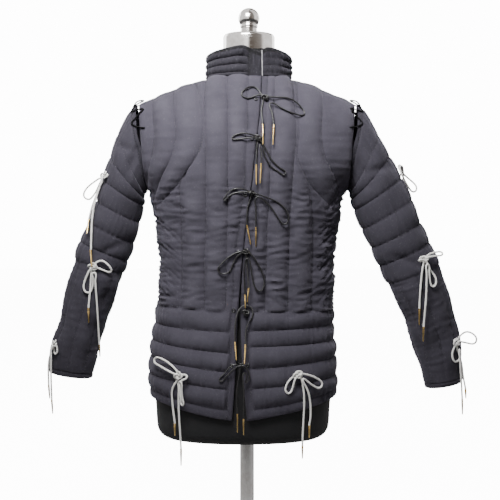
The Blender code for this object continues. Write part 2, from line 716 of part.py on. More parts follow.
def turned(name, profile, material, steps=24):
    # A profile of (radius, height) from the top down, turned about the neck's axis
    mesh = bpy.data.meshes.new(name)
    points = [(radius, 0, z) for radius, z in profile]
    mesh.from_pydata(points, [(i, i + 1) for i in range(len(points) - 1)], [])
    piece = add_object(name, mesh, material)
    piece.location = (NECK_X, 0, 0)
    screw = piece.modifiers.new("turn", "SCREW")
    screw.steps = screw.render_steps = steps
    screw.use_merge_vertices = True
    screw.merge_threshold = 0.0001
    screw.use_smooth_shade = True
    return piece


def make_stand():
    cap_middle = CAP_TOP - 0.006
    turned("neck_cap", [
        (0, CAP_TOP), (0.03, CAP_TOP - 0.0008), (0.05, CAP_TOP - 0.0028), (0.0555, cap_middle),
        (NECK_RADIUS, cap_middle - 0.003), (NECK_RADIUS, CAP_Z), (0, CAP_Z),
    ], "steel")
    ball, radius = 1.1635, 0.0235
    low = CAP_TOP + 0.0003
    arc = [radians(a) for a in (90, 68, 46, 24, 2, -20, -38)]
    turned("finial", [(max(0.0, radius * cos(a)) if a < 1.5 else 0, ball + radius * sin(a))
                      for a in arc] + [(0.0195, ball - 0.018), (0.018, low), (0, low)],
           "steel", 20)
    under = FORM_LEVELS[0] * MM - SEAM
    height = under - BASE_HEIGHT - SEAM
    bpy.ops.mesh.primitive_cylinder_add(
        vertices=24, radius=POST_RADIUS, depth=height, location=(0, 0, BASE_HEIGHT + SEAM + height / 2))
    keep_primitive("post", "steel")
    bpy.ops.mesh.primitive_cylinder_add(
        vertices=32, radius=BASE_RADIUS, depth=BASE_HEIGHT, location=(0, 0, BASE_HEIGHT / 2))
    base = keep_primitive("base", "steel")
    bevel = base.modifiers.new("rim", "BEVEL")
    bevel.width = 0.004
    bevel.segments = 1
    bevel.angle_limit = radians(60)


def keep_primitive(name, material):
    piece = bpy.context.object
    piece.name = piece.data.name = name
    for collection in piece.users_collection:
        collection.objects.unlink(piece)
    gambeson.objects.link(piece)
    piece.data.materials.append(materials[material])
    piece.data.shade_smooth()
    piece.data.set_sharp_from_angle(angle=radians(35))
    return piece


def tube(name, points, radii, material):
    curve = bpy.data.curves.new(name, "CURVE")
    curve.dimensions = "3D"
    curve.bevel_depth = 1.0
    curve.bevel_resolution = 2
    curve.use_fill_caps = True
    spline = curve.splines.new("POLY")
    spline.points.add(len(points) - 1)
    for point, place, radius in zip(spline.points, points, radii):
        point.co = (*place, 1)
        point.radius = radius
    return add_object(name, curve, material)


def cloth_tree():
    # One tree of every piece of cloth, for laying the laces on it
    points, faces = [], []
    for piece in gambeson.objects:
        if piece.type == "MESH" and piece.data.materials[0] == materials["cloth"]:
            start = len(points)
            points += [v.co for v in piece.data.vertices]
            piece.data.calc_loop_triangles()
            faces += [[start + i for i in face.vertices] for face in piece.data.loop_triangles]
    return BVHTree.FromPolygons(points, faces)


def cloth_face(tree, x, z, reach, side):
    # The cloth's foremost (side -1) or rearmost (side 1) y near a place in the front view, or None
    found = []
    for dx in (-reach, 0, reach):
        for dz in (-reach, -reach / 2, 0, reach / 2, reach):
            hit = tree.ray_cast(Vector((x + dx, side, z + dz)), Vector((0, -side, 0)))[0]
            if hit is not None:
                found.append(hit.y * side)
    return max(found) * side if found else None


def seated(tree, places, radii):
    # The whole tie moved towards the cloth, until it's LACE_CLEAR from it where it's nearest
    nearest, move = 1.0, Vector()
    for i in range(len(places) - 1):
        for share in np.linspace(0, 1, 13):
            point = places[i].lerp(places[i + 1], share)
            spot, _, _, away = tree.find_nearest(point)
            away -= radii[i] + (radii[i + 1] - radii[i]) * share + LACE_CLEAR
            if away < nearest:
                nearest, move = away, (spot - point).normalized() * away
    return [place + move for place in places]


def lay_tie(tree, name, route, width, material, reach):
    sides = [1 if len(point) > 2 and point[2] < 0 else -1 for point in route]
    found = [cloth_face(tree, point[0] * MM, point[1] * MM, reach, side)
             for point, side in zip(route, sides)]
    last, places = next(y for y in found if y is not None), []
    for (x, z, *more), y, side in zip(route, found, sides):
        layer = (abs(more[0]) if more else 0) - (1 if side > 0 else 0)
        last = last if y is None else y
        y = last + side * (width / 2 + LACE_CLEAR + layer * (width + LAYER_GAP))
        places.append(Vector((x * MM, more[1] * MM if len(more) > 1 else y, z * MM)))
    radius = width / 2 + AGLET_WALL
    tip_radius = radius * AGLET_TIP
    radii = [tip_radius, radius] + [width / 2] * (len(places) - 4) + [radius, tip_radius]
    places = seated(tree, places, radii)
    ends = ((*places[:3], "a"), (*places[:-4:-1], "b"))
    for tip, mouth, before, letter in ends:
        run, arrive = (tip - mouth).normalized(), (mouth - before).normalized()
        start = mouth + run * (AGLET_GAP + radius * arrive.cross(run).length)
        tube(f"{name}_aglet_{letter}", [start, tip], [radius, tip_radius], "brass")
    lace = places[1:-1]
    tube(name, lace, [width / 2] * len(lace), material)


def make_ties():
    tree = cloth_tree()
    for number, route in enumerate(FRONT_TIES, 1):
        lay_tie(tree, f"front_tie_{number}", route, BLACK_LACE, "black_lace", 0.014)
    for number, route in enumerate(WHITE_TIES, 1):
        where = "sleeve_tie" if number <= 6 else "skirt_tie"
        reach = 0.010 if number <= 6 else 0.014
        lay_tie(tree, f"{where}_{number}", route, WHITE_LACE, "white_lace", reach)
    for name, hand in (("armhole_lacing_right", -1), ("armhole_lacing_left", 1)):
        points, lift = [], BLACK_LACE / 2 + LACING_CLEAR
        for number, hole in enumerate(ARMHOLE_HOLES):
            slit = slit_at(armhole_point(radians(-hole), hand, 0)[2])
            off = slit + HOLE_SETBACK if number % 2 else -HOLE_SETBACK
            place = Vector(armhole_point(radians(-hole), hand, off))
            out = Vector((0, place.y, place.z - ARMHOLE_MIDDLE)).normalized()
            if points:
                middle = (hole + ARMHOLE_HOLES[number - 1]) / 2
                rim = Vector(armhole_point(radians(-middle), hand, slit))
                points.append(rim + out * lift)
            points.append(tree.ray_cast(place + out * 0.2, -out)[0] + out * lift)
        tube(name, points, [BLACK_LACE / 2] * len(points), "black_lace")


def main():
    materials.update({name: make_material(name) for name in COLOURS})
    make_front("front_right", RIGHT_LINES, -1, RIGHT_SKIRT)
    make_front("front_left", LEFT_LINES, 1, LEFT_SKIRT)
    make_back()
    make_collar()
    make_sleeve("sleeve_right", RIGHT_SLEEVE, -1)
    make_sleeve("sleeve_left", LEFT_SLEEVE, 1)
    make_form()
    make_stand()
    make_ties()


main()
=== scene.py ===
# A padded gambeson on its dress form: the finished cloth, laces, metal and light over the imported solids.
from math import asin, cos, pi, radians, sin, sqrt

import bpy
import numpy as np
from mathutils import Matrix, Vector
from mathutils.bvhtree import BVHTree


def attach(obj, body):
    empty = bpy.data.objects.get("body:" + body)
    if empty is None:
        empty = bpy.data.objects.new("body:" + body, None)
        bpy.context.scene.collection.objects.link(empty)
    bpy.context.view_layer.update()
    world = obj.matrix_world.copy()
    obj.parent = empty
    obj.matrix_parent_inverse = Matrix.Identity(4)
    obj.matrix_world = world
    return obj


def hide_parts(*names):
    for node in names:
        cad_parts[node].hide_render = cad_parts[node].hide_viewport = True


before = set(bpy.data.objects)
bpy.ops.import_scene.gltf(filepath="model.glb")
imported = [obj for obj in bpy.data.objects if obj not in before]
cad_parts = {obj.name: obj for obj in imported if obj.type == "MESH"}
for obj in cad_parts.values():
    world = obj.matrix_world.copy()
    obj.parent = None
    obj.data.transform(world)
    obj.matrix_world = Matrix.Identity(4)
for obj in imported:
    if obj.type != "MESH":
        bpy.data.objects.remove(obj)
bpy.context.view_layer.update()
mm = 0.001


def report(stage):
    print("gambeson:", stage, flush=True)


def smooth(value):
    value = np.clip(value, 0, 1)
    return value * value * (3 - 2 * value)


def tableOf(columns, *rows):
    # rows of millimetres under named columns, as metres sorted by the first column
    return dict(zip(columns.split(), np.array(sorted(rows), float).T * mm))


def follow(at, stations, values):
    # smooth curve through the values at the stations
    at = np.asarray(at, float)
    slopes = np.empty(len(stations))
    slopes[1:-1] = (values[2:] - values[:-2]) / (stations[2:] - stations[:-2])
    slopes[0] = (values[1] - values[0]) / (stations[1] - stations[0])
    slopes[-1] = (values[-1] - values[-2]) / (stations[-1] - stations[-2])
    i = np.clip(np.searchsorted(stations, at) - 1, 0, len(stations) - 2)
    span = stations[i + 1] - stations[i]
    t = np.clip((at - stations[i]) / span, 0, 1)
    start = (2 * t**3 - 3 * t**2 + 1) * values[i] + (t**3 - 2 * t**2 + t) * span * slopes[i]
    return start + (3 * t**2 - 2 * t**3) * values[i + 1] + (t**3 - t**2) * span * slopes[i + 1]


def ripples(across, along, sizes, seed, turn=0.3, waves=12):
    # uneven wrinkles that lie across the second direction, from one wrinkle's size in both
    across, along = across / sizes[0], along / sizes[1]
    random = np.random.default_rng(seed)
    total = 0.0
    for _ in range(waves):
        angle, size, shift = random.normal(0, turn), random.uniform(0.55, 1.6), random.uniform(0, 2 * pi)
        total = total + np.cos(2 * pi * size * (along * cos(angle) + across * sin(angle)) + shift)
    return total / sqrt(waves / 2)


def groove(away, wide, deep):
    return -deep * np.exp(-((away / wide) ** 2))


def unit(vectors):
    # the vectors, each brought to length one
    return vectors / np.maximum(np.linalg.norm(vectors, axis=-1, keepdims=True), 1e-12)


def alongRun(run):
    # how far along the run each of its points lies
    return np.concatenate(([0], np.cumsum(np.linalg.norm(np.diff(run, axis=0), axis=1))))


def gridNormals(points, roundTrip):
    if roundTrip:
        along = np.roll(points, -1, axis=1) - np.roll(points, 1, axis=1)
    else:
        along = np.gradient(points, axis=1)
    return unit(np.cross(along, np.gradient(points, axis=0)))


def flatten(normals, axis):
    # the normals, turned square to an axis
    normals = normals.copy()
    normals[..., axis] = 0
    return unit(normals)


def gridFaces(rows, around, roundTrip=True):
    # corner numbers of a grid's quads
    i, j = np.meshgrid(np.arange(rows - 1), np.arange(around if roundTrip else around - 1), indexing="ij")
    k = (j + 1) % around
    quads = np.stack((i * around + j, i * around + k, (i + 1) * around + k, (i + 1) * around + j), -1)
    return quads.reshape(-1, 4)


def tubeFaces(rows, around, falling=False):
    # the quads round a tube and a face across each end; the rings of a falling one come from above
    quads, low = gridFaces(rows, around), list(range(around))
    high = [corner + (rows - 1) * around for corner in low]
    if falling:
        return quads[:, [0, 3, 2, 1]].tolist() + [low, high[::-1]]
    return quads.tolist() + [low[::-1], high]


def newPiece(name, points, faces, material, sharp=None, raised=None):
    # one object of its own, with edges kept sharp over an angle and a mark at each point
    mesh = bpy.data.meshes.new(name)
    mesh.from_pydata(np.asarray(points).reshape(-1, 3).tolist(), [], faces)
    if raised is not None:
        mark = mesh.attributes.new("raised", "FLOAT", "POINT")
        mark.data.foreach_set("value", np.ravel(raised).astype(np.float32))
    mesh.shade_smooth()
    if sharp:
        mesh.set_sharp_from_angle(angle=radians(sharp))
    mesh.materials.append(material)
    return placedObject(name, mesh)


def placedObject(name, data, place=(0, 0, 0)):
    thing = bpy.data.objects.new(name, data)
    thing.location = place
    bpy.context.collection.objects.link(thing)
    return thing


def dress(piece, node=None):
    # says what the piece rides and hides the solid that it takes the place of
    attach(piece, "root")
    if node:
        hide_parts(node)
    return piece


coat = {
    "wall": 0.0035, "crest": 0.0065, "fullChannel": 0.042, "bandPuff": 0.35, "seam": 0.0003,
    "openingGap": 0.0012, "neckX": 0.0045, "neckHalf": 0.094, "neckDepth": 0.075, "neckZ": 1.029,
    "shoulderHalf": 0.240, "shoulderZ": 0.974, "shoulderCurve": 1.2, "armpitHalf": 0.222,
    "armpitZ": 0.786, "rise": 0.19, "round": 2.3, "slit": 0.0065, "slitFrom": 0.865, "slitTo": 0.915,
}
bodyTable = tableOf(
    "z     half  front  back  shift",
    (285, 205, 141, 139, -9),
    (340, 209, 141, 139, -9),
    (397, 209, 138, 134, -9),
    (439, 205, 134, 127, -8.5),
    (469, 201, 131, 120, -7),
    (518, 197, 127, 110, -3.5),
    (597, 195, 125, 101, 0),
    (676, 198, 128, 106, 0),
    (727, 206, 131, 115, 0),
    (786, 222, 134, 122, 0),
    (830, 246, 134, 125, 0),
    (880, 265, 131, 124, 0),
    (975, 277, 124, 119, 0),
    (1035, 277, 118, 113, 0),
)
rightLines = tableOf(     # stitch lines of the wearer's right front, as x at each height
    "z      edge  band   l1    l2    l3     d     c     b",
    (1031, 33, 3, -42, -91, -114.5, -117, -165, -210),
    (950, 28, 2, -41, -91, -93, -96, -158, -205),
    (895, 22, 0, -40, -88, -91, -94, -153, -200),
    (850, 17, -2, -40, -88, -108, -110, -162, -207),
    (795, 11, -6, -40, -86, -143, -147, -190, -218),
    (740, 3, -12, -41, -87, -141, -192, -202, -206),
    (690, -3, -18, -42, -88, -141, -172, -189, -197),
    (640, -8, -24, -43, -90, -140, -168, -184, -192),
    (520, -18, -32, -46, -92, -142, -172, -188, -196),
    (400, -23, -36, -56, -98, -146, -182, -202, -213),
    (285, -31, -44, -64, -104, -146, -178, -198, -209),
)
leftLines = tableOf(
    "z      edge  band  l1   l2    l3     d     c",
    (1031, 33, 46, 62, 99, 107, 110, 169),
    (950, 28, 42, 57, 104, 107.5, 110.5, 163),
    (895, 22, 37, 53, 105, 108, 111, 160),
    (850, 17, 32, 51, 101, 106, 109, 168),
    (795, 11, 27, 49, 97, 131, 135, 197),
    (740, 3, 20, 46, 93, 140, 178, 200),
    (690, -3, 14, 43, 91, 142, 170, 190),
    (640, -8, 9, 42, 90, 142, 168, 186),
    (520, -14, 2, 38, 88, 140, 164, 183),
    (400, -10, 4, 40, 88, 141, 168, 190),
    (285, 0, 14, 44, 90, 142, 166, 186),
)
backLines = tableOf(
    "z     l1   l2    l3    d",
    (1031, 31, 94, 150, 205),
    (950, 31, 90, 145, 198),
    (895, 30, 88, 141, 194),
    (850, 30, 87, 139, 192),
    (786, 30, 86, 137, 187),
    (700, 29, 85, 135, 180),
    (597, 29, 84, 133, 174),
    (440, 30, 87, 139, 180),
    (285, 31, 89, 142, 182),
)
rightSkirt = ((524, 533), (477, 487), (432, 450), (392, 414), (355, 376), (311, 341), (289, 323))
leftSkirt = ((525, 519), (480, 485), (446, 450), (399, 413), (357, 372), (311, 341), (289, 323))
backSag = 0.010
foldTable = tableOf(      # the deep folds: ends in the front view, half width, depth and side
    "x0     z0    x1    z1   wide deep side",
    (-300, 884, -246, 868, 9, 5, -1000),
    (-262, 812, -238, 872, 9, 6, -1000),
    (-330, 640, -268, 668, 8, 4, -1000),
    (-338, 520, -300, 560, 8, 3, -1000),
    (252, 900, 296, 830, 10, 8, -1000),
    (243, 862, 262, 790, 9, 8, -1000),
    (262, 822, 330, 836, 9, 5, -1000),
    (318, 640, 392, 612, 8, 4, -1000),
    (392, 560, 440, 470, 8, 3, -1000),
    (-268, 880, -300, 800, 10, 6, 1000),
    (-246, 820, -318, 760, 9, 5, 1000),
    (-330, 600, -272, 640, 9, 4, 1000),
    (262, 880, 320, 800, 10, 6, 1000),
    (256, 815, 345, 745, 9, 5, 1000),
    (318, 600, 405, 640, 9, 4, 1000),
    (-190, 706, -140, 724, 9, 3, -1000),
    (146, 668, 190, 690, 9, 3, -1000),
    (-180, 600, -130, 612, 9, 3, -1000),
    (-120, 640, 10, 628, 10, 4, 1000),
    (-20, 590, 130, 604, 10, 4, 1000),
)


def bodyAt(z, column):
    return follow(z, bodyTable["z"], bodyTable[column])


def shoulderHeight(x):
    side = np.where(x > coat["neckX"], coat["neckX"], -coat["neckX"])
    reach = coat["shoulderHalf"] - coat["neckHalf"] - side
    out = np.clip((abs(x - coat["neckX"]) - coat["neckHalf"]) / reach, 0, 1)
    return coat["neckZ"] - (coat["neckZ"] - coat["shoulderZ"]) * out ** coat["shoulderCurve"]


def armholeHalf(z):
    part = (z - coat["armpitZ"]) / (coat["shoulderZ"] - coat["armpitZ"])
    return coat["armpitHalf"] + (coat["shoulderHalf"] - coat["armpitHalf"]) * part


def bodyDepth(x, z, face, inset=0.0):
    across = np.clip(abs(x - bodyAt(z, "shift")) / (bodyAt(z, "half") - inset), 0, 1)
    full = (bodyAt(z, face) - inset) * (1 - across ** coat["round"]) ** (1 / coat["round"])
    fromNeck = np.clip(abs(x - coat["neckX"]) / (coat["neckHalf"] - inset), 0, 1)
    neck = (coat["neckDepth"] - inset) * np.sqrt(1 - fromNeck**2)
    drop = np.clip((shoulderHeight(x) - inset - z) / coat["rise"], 0, 1)
    lift = (1 - (1 - drop) ** 2) ** (0.5 + 0.3 * (1 - fromNeck**2))
    return neck + (full - neck) * lift


def sideX(z, hand):
    body = bodyAt(z, "shift") + hand * bodyAt(z, "half")
    return np.where(z > coat["armpitZ"], hand * armholeHalf(z), body)


def foldDepth(points, normals, most=0.009):
    total = np.zeros(points.shape[:-1])
    for x0, z0, x1, z1, wide, deep, side in zip(*foldTable.values()):
        run = np.array((x1 - x0, z1 - z0))
        offX, offZ = points[..., 0] - x0, points[..., 2] - z0
        share = np.clip((offX * run[0] + offZ * run[1]) / (run @ run), 0, 1)
        away = np.hypot(offX - share * run[0], offZ - share * run[1])
        taper = 0.35 + 0.65 * np.sin(pi * np.clip(share, 0.04, 0.96))
        total += deep * taper * np.clip(normals[..., 1] * side, 0, None) * np.exp(-((away / wide) ** 2))
    return np.minimum(total, most)


def channelHeight(width):
    return coat["crest"] * np.minimum(1.0, width / coat["fullChannel"])


def hump(share, full=0.72):
    # how the wadding fills a channel: steeper at the stitches than a sine
    return np.sin(pi * np.clip(share, 0, 1)) ** full


def edgeRound(away, radius=0.0022, drop=0.0017):
    # how far a wall's outer corner is worn down near an edge
    share = np.clip(away / radius, 0, 1)
    return drop * (1 - np.sqrt(1 - (1 - share) ** 2))


wallLook = {"sharp": 60, "inside": 0.3, "marks": (-0.2, 1.2)}
coatSkins = {}            # each wall's outer grid, and whether it closes round a tube


def wallPiece(name, outer, inner, roundTrip, raised, material):
    # a closed wall between two grids, with a mark of how far each outer point is puffed up
    coatSkins[name] = outer, roundTrip
    rows, columns = outer.shape[:2]
    size = rows * columns
    front = gridFaces(rows, columns, roundTrip)
    faces = [front, front[:, ::-1] + size]
    j = np.arange(columns if roundTrip else columns - 1)
    rims = [(row * columns + j, row * columns + (j + 1) % columns, row > 0) for row in (0, rows - 1)]
    if not roundTrip:
        i = np.arange(rows - 1) * columns
        rims += [(i + column, i + columns + column, column == 0) for column in (0, columns - 1)]
    for a, b, turned in rims:
        rim = np.stack((b, a, a + size, b + size), -1)
        faces.append(rim[:, ::-1] if turned else rim)
    faces = np.concatenate(faces)
    points = np.concatenate((outer.reshape(-1, 3), inner.reshape(-1, 3)))
    corners = points[faces]
    flow = np.cross(corners[:, 1] - corners[:, 0], corners[:, 2] - corners[:, 0])
    if ((corners[:, 0] - points.mean(axis=0)) * flow).sum() < 0:
        faces = faces[:, ::-1]
    marks = np.concatenate((np.clip(raised, *wallLook["marks"]).ravel(), np.full(size, wallLook["inside"])))
    return newPiece(name, points, faces.tolist(), material, wallLook["sharp"], marks)


def newMaterial(name, colour, roughness, metallic=0.0, sheen=0.0, sheenTint=(1.0, 1.0, 1.0), gloss=0.5):
    material = bpy.data.materials.new(name)
    material.use_nodes = True
    shader = material.node_tree.nodes["Principled BSDF"]
    values = {"Base Color": (*colour, 1), "Roughness": roughness, "Metallic": metallic, "Sheen Weight": sheen,
              "Sheen Roughness": 0.45, "Sheen Tint": (*sheenTint, 1), "Specular IOR Level": gloss}
    for label, value in values.items():
        shader.inputs[label].default_value = value
    return material, material.node_tree, shader


def addNode(tree, kind, values=None, **settings):
    node = tree.nodes.new(kind)
    for key, value in settings.items():
        setattr(node, key, value)
    for key, value in (values or {}).items():
        node.inputs[key].default_value = value
    return node


def newGroup(name, inputs, outputs):
    group = bpy.data.node_groups.new(name, "ShaderNodeTree")
    for label, value in inputs.items():
        socket = group.interface.new_socket(name=label, in_out="INPUT", socket_type="NodeSocketFloat")
        socket.default_value = value
    for label in outputs:
        group.interface.new_socket(name=label, in_out="OUTPUT", socket_type="NodeSocketFloat")
    return group, addNode(group, "NodeGroupInput"), addNode(group, "NodeGroupOutput")


def put(tree, value, socket):
    # a number or a colour goes on the socket, and anything else is linked to it
    if isinstance(value, (int, float)):
        socket.default_value = value
    elif isinstance(value, tuple):
        socket.default_value = (*value, 1)
    else:
        tree.links.new(value, socket)


def sums(tree, operation, *values):
    node = addNode(tree, "ShaderNodeMath", operation=operation)
    for socket, value in zip(node.inputs, values):
        put(tree, value, socket)
    return node.outputs[0]


def mixed(tree, factor, first, second, blend="MIX"):
    node = addNode(tree, "ShaderNodeMix", data_type="RGBA", blend_type=blend)
    for number, value in ((0, factor), (6, first), (7, second)):
        put(tree, value, node.inputs[number])
    return node.outputs[2]


def spread(tree, value, low, high, toLow=0.0, toHigh=1.0):
    limits = {"From Min": low, "From Max": high, "To Min": toLow, "To Max": toHigh}
    node = addNode(tree, "ShaderNodeMapRange", limits)
    put(tree, value, node.inputs["Value"])
    return node.outputs[0]


def patchy(tree, place, size, detail, roughness=0.5):
    # noise whose patches have this size
    noise = addNode(tree, "ShaderNodeTexNoise", {"Detail": detail, "Roughness": roughness})
    put(tree, place, noise.inputs["Vector"])
    put(tree, sums(tree, "DIVIDE", 1.0, size), noise.inputs["Scale"])
    return noise.outputs[0]


def makeTwill():
    # slanted weave lines with uneven threads, from the place on the piece
    tree, given, out = newGroup("twillWeave", {"Line width": 0.0011, "Unevenness": 0.5},
                                ("Height", "Threads"))
    place = addNode(tree, "ShaderNodeTexCoord").outputs["Object"]
    parts = addNode(tree, "ShaderNodeSeparateXYZ")
    put(tree, place, parts.inputs[0])
    uneven = addNode(tree, "ShaderNodeTexNoise", {"Scale": 420.0, "Detail": 3.0, "Roughness": 0.6})
    put(tree, place, uneven.inputs["Vector"])
    around = sums(tree, "ADD", parts.outputs[0], parts.outputs[1])
    run = sums(tree, "DIVIDE", sums(tree, "ADD", around, parts.outputs[2]), given.outputs["Line width"])
    push = sums(tree, "MULTIPLY", uneven.outputs[0], given.outputs["Unevenness"])
    wave = sums(tree, "SINE", sums(tree, "MULTIPLY_ADD", sums(tree, "ADD", run, push), 2 * pi, 0.0))
    height = sums(tree, "MULTIPLY_ADD", wave, 0.5, 0.5)
    put(tree, height, out.inputs["Height"])
    slub = addNode(tree, "ShaderNodeTexNoise", {"Scale": 900.0, "Detail": 2.0})
    put(tree, place, slub.inputs["Vector"])
    put(tree, slub.outputs[0], out.inputs["Threads"])
    return tree


def makeFading():
    # broad uneven fading and small specks of dust, as masks from 0 to 1
    tree, given, out = newGroup("unevenFading", {"Patch size": 0.06, "Speck size": 0.002},
                                ("Fading", "Specks"))
    place = addNode(tree, "ShaderNodeTexCoord").outputs["Object"]
    for label, size, detail, low, high in (("Fading", "Patch size", 4.0, 0.3, 0.7),
                                           ("Specks", "Speck size", 1.0, 0.66, 0.8)):
        noise = patchy(tree, place, given.outputs[size], detail)
        put(tree, spread(tree, noise, low, high), out.inputs[label])
    return tree


def makeScuffs():
    # fine crossing scratches and soft smears on metal
    tree, given, out = newGroup("fineScuffs", {"Size": 0.01}, ("Scuffs", "Smears"))
    place = addNode(tree, "ShaderNodeTexCoord").outputs["Object"]
    stretch = addNode(tree, "ShaderNodeMapping", {"Scale": (1.0, 6.0, 14.0)})
    put(tree, place, stretch.inputs[0])
    for label, vector, detail in (("Scuffs", stretch.outputs[0], 6.0), ("Smears", place, 3.0)):
        noise = patchy(tree, vector, given.outputs["Size"], detail, 0.65)
        put(tree, spread(tree, noise, 0.35, 0.7), out.inputs[label])
    return tree


def placed(tree, group, values=None):
    return addNode(tree, "ShaderNodeGroup", values, node_tree=group).outputs


def raisedMark(tree):
    return addNode(tree, "ShaderNodeAttribute", attribute_name="raised").outputs["Fac"]


def shaded(colour, share):
    return tuple(part * share for part in colour)


def bumped(tree, shader, height, distance, strength=1.0):
    bump = addNode(tree, "ShaderNodeBump", {"Distance": distance, "Strength": strength})
    put(tree, height, bump.inputs["Height"])
    put(tree, bump.outputs[0], shader.inputs["Normal"])


# stitchShade is the painted shade in the valleys between puffs; worn is the crests' colour, partly wear and
# partly painted highlight
clothLook = {
    "colour": (0.046, 0.042, 0.056), "worn": (0.069, 0.064, 0.082), "stitchShade": (0.024, 0.022, 0.030),
    "roughness": 0.92, "gloss": 0.25, "sheen": 0.07, "sheenTint": (0.86, 0.80, 1.0), "twillLine": 0.0013,
    "deepAt": (-0.1, 0.09), "crestAt": (0.45, 1.0), "wearAndHighlight": 0.75, "dust": 0.35,
}


def clothMaterial(name, shade=1.0, deepShade=1.0):
    # painted shade between the puffs and along the stitch lines, paler crests that are partly wear and partly
    # painted highlight, and dust specks
    look = clothLook
    colour = shaded(look["colour"], shade)
    material, tree, shader = newMaterial(name, colour, look["roughness"], 0.0, look["sheen"],
                                         look["sheenTint"], look["gloss"])
    weave = placed(tree, twill, {"Line width": look["twillLine"]})
    fade = placed(tree, fading)
    raised = raisedMark(tree)
    # painted shade in the valleys and along the stitch lines
    deep = mixed(tree, spread(tree, raised, *look["deepAt"]),
                 shaded(shaded(look["stitchShade"], shade), deepShade), colour)
    # paler crests: partly wear, partly painted highlight
    crest = sums(tree, "MULTIPLY", spread(tree, raised, *look["crestAt"]), fade["Fading"])
    worn = mixed(tree, sums(tree, "MULTIPLY", crest, look["wearAndHighlight"]), deep, shaded(look["worn"], shade))
    threads = mixed(tree, spread(tree, weave["Threads"], 0.3, 0.7, 0.0, 0.5), worn, (0.5, 0.5, 0.5),
                    "OVERLAY")
    dusty = mixed(tree, sums(tree, "MULTIPLY", fade["Specks"], look["dust"]), threads, (0.2, 0.2, 0.21))
    put(tree, dusty, shader.inputs["Base Color"])
    relief = sums(tree, "ADD", weave["Height"], weave["Threads"])
    bumped(tree, shader, relief, 0.00035, 0.55)
    return material


def cordMaterial(name, colour, light, roughness, sheen=0.3, gloss=0.5):
    # painted shade between the strands and a painted highlight along their tops, broken up by the fibres
    material, tree, shader = newMaterial(name, colour, roughness, 0.0, sheen, gloss=gloss)
    fibres = placed(tree, twill, {"Line width": 0.0004, "Unevenness": 1.4})
    raised = raisedMark(tree)
    # painted shade between the strands
    shade = mixed(tree, spread(tree, raised, 0.0, 1.0), shaded(colour, 0.6), colour)
    # painted highlight along the strand tops
    crest = sums(tree, "MULTIPLY", spread(tree, raised, 0.7, 1.0), spread(tree, fibres["Threads"], 0.4, 0.7))
    put(tree, mixed(tree, crest, shade, light), shader.inputs["Base Color"])
    bumped(tree, shader, fibres["Height"], 0.0002, 0.5)
    return material


def metalMaterial(name, colour, dull, roughness, size):
    material, tree, shader = newMaterial(name, colour, roughness, 1.0)
    marks = placed(tree, scuffs, {"Size": size})
    put(tree, mixed(tree, sums(tree, "MULTIPLY", marks["Smears"], 0.6), colour, dull),
                   shader.inputs["Base Color"])
    put(tree, spread(tree, marks["Scuffs"], 0.0, 1.0, roughness, roughness + 0.16),
                   shader.inputs["Roughness"])
    bumped(tree, shader, marks["Scuffs"], 0.00004, 0.4)
    return material


twill, fading, scuffs = makeTwill(), makeFading(), makeScuffs()
quiltCloth = clothMaterial("quiltCloth")
stitchThread, _, _ = newMaterial("stitchThread", (0.035, 0.034, 0.042), 0.7, 0.0, 0.2)
# each cord's second colour is its painted highlight
eyeletThread = cordMaterial("eyeletThread", (0.006, 0.006, 0.007), (0.05, 0.05, 0.05), 0.25, 0.0)
blackCord = cordMaterial("blackCord", (0.005, 0.005, 0.006), (0.07, 0.068, 0.06), 0.30, 0.0)
armholeCord = cordMaterial("armholeCord", (0.004, 0.004, 0.005), (0.03, 0.03, 0.03), 0.8, 0.0, 0.08)
whiteCord = cordMaterial("whiteCord", (0.93, 0.91, 0.87), (0.96, 0.95, 0.92), 0.75)
paleEdge = cordMaterial("paleEdge", (0.30, 0.29, 0.31), (0.5, 0.5, 0.52), 0.8)
agedBrass = metalMaterial("agedBrass", (0.86, 0.62, 0.27), (0.42, 0.27, 0.10), 0.13, 0.004)
# a darker copy of the quilt cloth: painted shade on the sleeves
shadedSleeveCloth = clothMaterial("shadedSleeveCloth", 0.74)
# a darker copy of the quilt cloth for the collar, with the painted shade between its puffs darker still
collarCloth = clothMaterial("collarCloth", 0.4, 0.3)
brightSteel = metalMaterial("brightSteel", (0.66, 0.65, 0.64), (0.44, 0.40, 0.37), 0.09, 0.02)


def makeJersey():
    material, tree, shader = newMaterial("blackJersey", (0.010, 0.010, 0.011), 0.8, gloss=0.3)
    knit = placed(tree, twill, {"Line width": 0.0008, "Unevenness": 0.3})
    fade = placed(tree, fading, {"Patch size": 0.09, "Speck size": 0.0015})
    tone = mixed(tree, fade["Fading"], (0.007, 0.007, 0.008), (0.011, 0.011, 0.012))
    put(tree, mixed(tree, sums(tree, "MULTIPLY", fade["Specks"], 0.3), tone, (0.09, 0.09, 0.09)),
                   shader.inputs["Base Color"])
    bumped(tree, shader, knit["Height"], 0.0002, 0.4)
    return material


blackJersey = makeJersey()
report("materials made")


# camera, light and floor
view = {"place": (0.0068, -2.3, 0.76), "pitch": -2.8, "lens": 73.6, "floor": 9.0}
room = {                  # turns in radians round the part that metal sees dark, and how bright the rest is
    "dark": (-0.10, 0.0, 1.0, 1.15), "fading": (0.1, 1.1, 0.75), "farSide": (2.3, 2.4, 2.8, 3.0),
    "light": (2.5, 2.45, 2.42), "shade": (0.2, 0.15, 0.11), "seen": 14.0, "lit": 0.05, "shine": 0.6,
    "floor": 13.0,
}


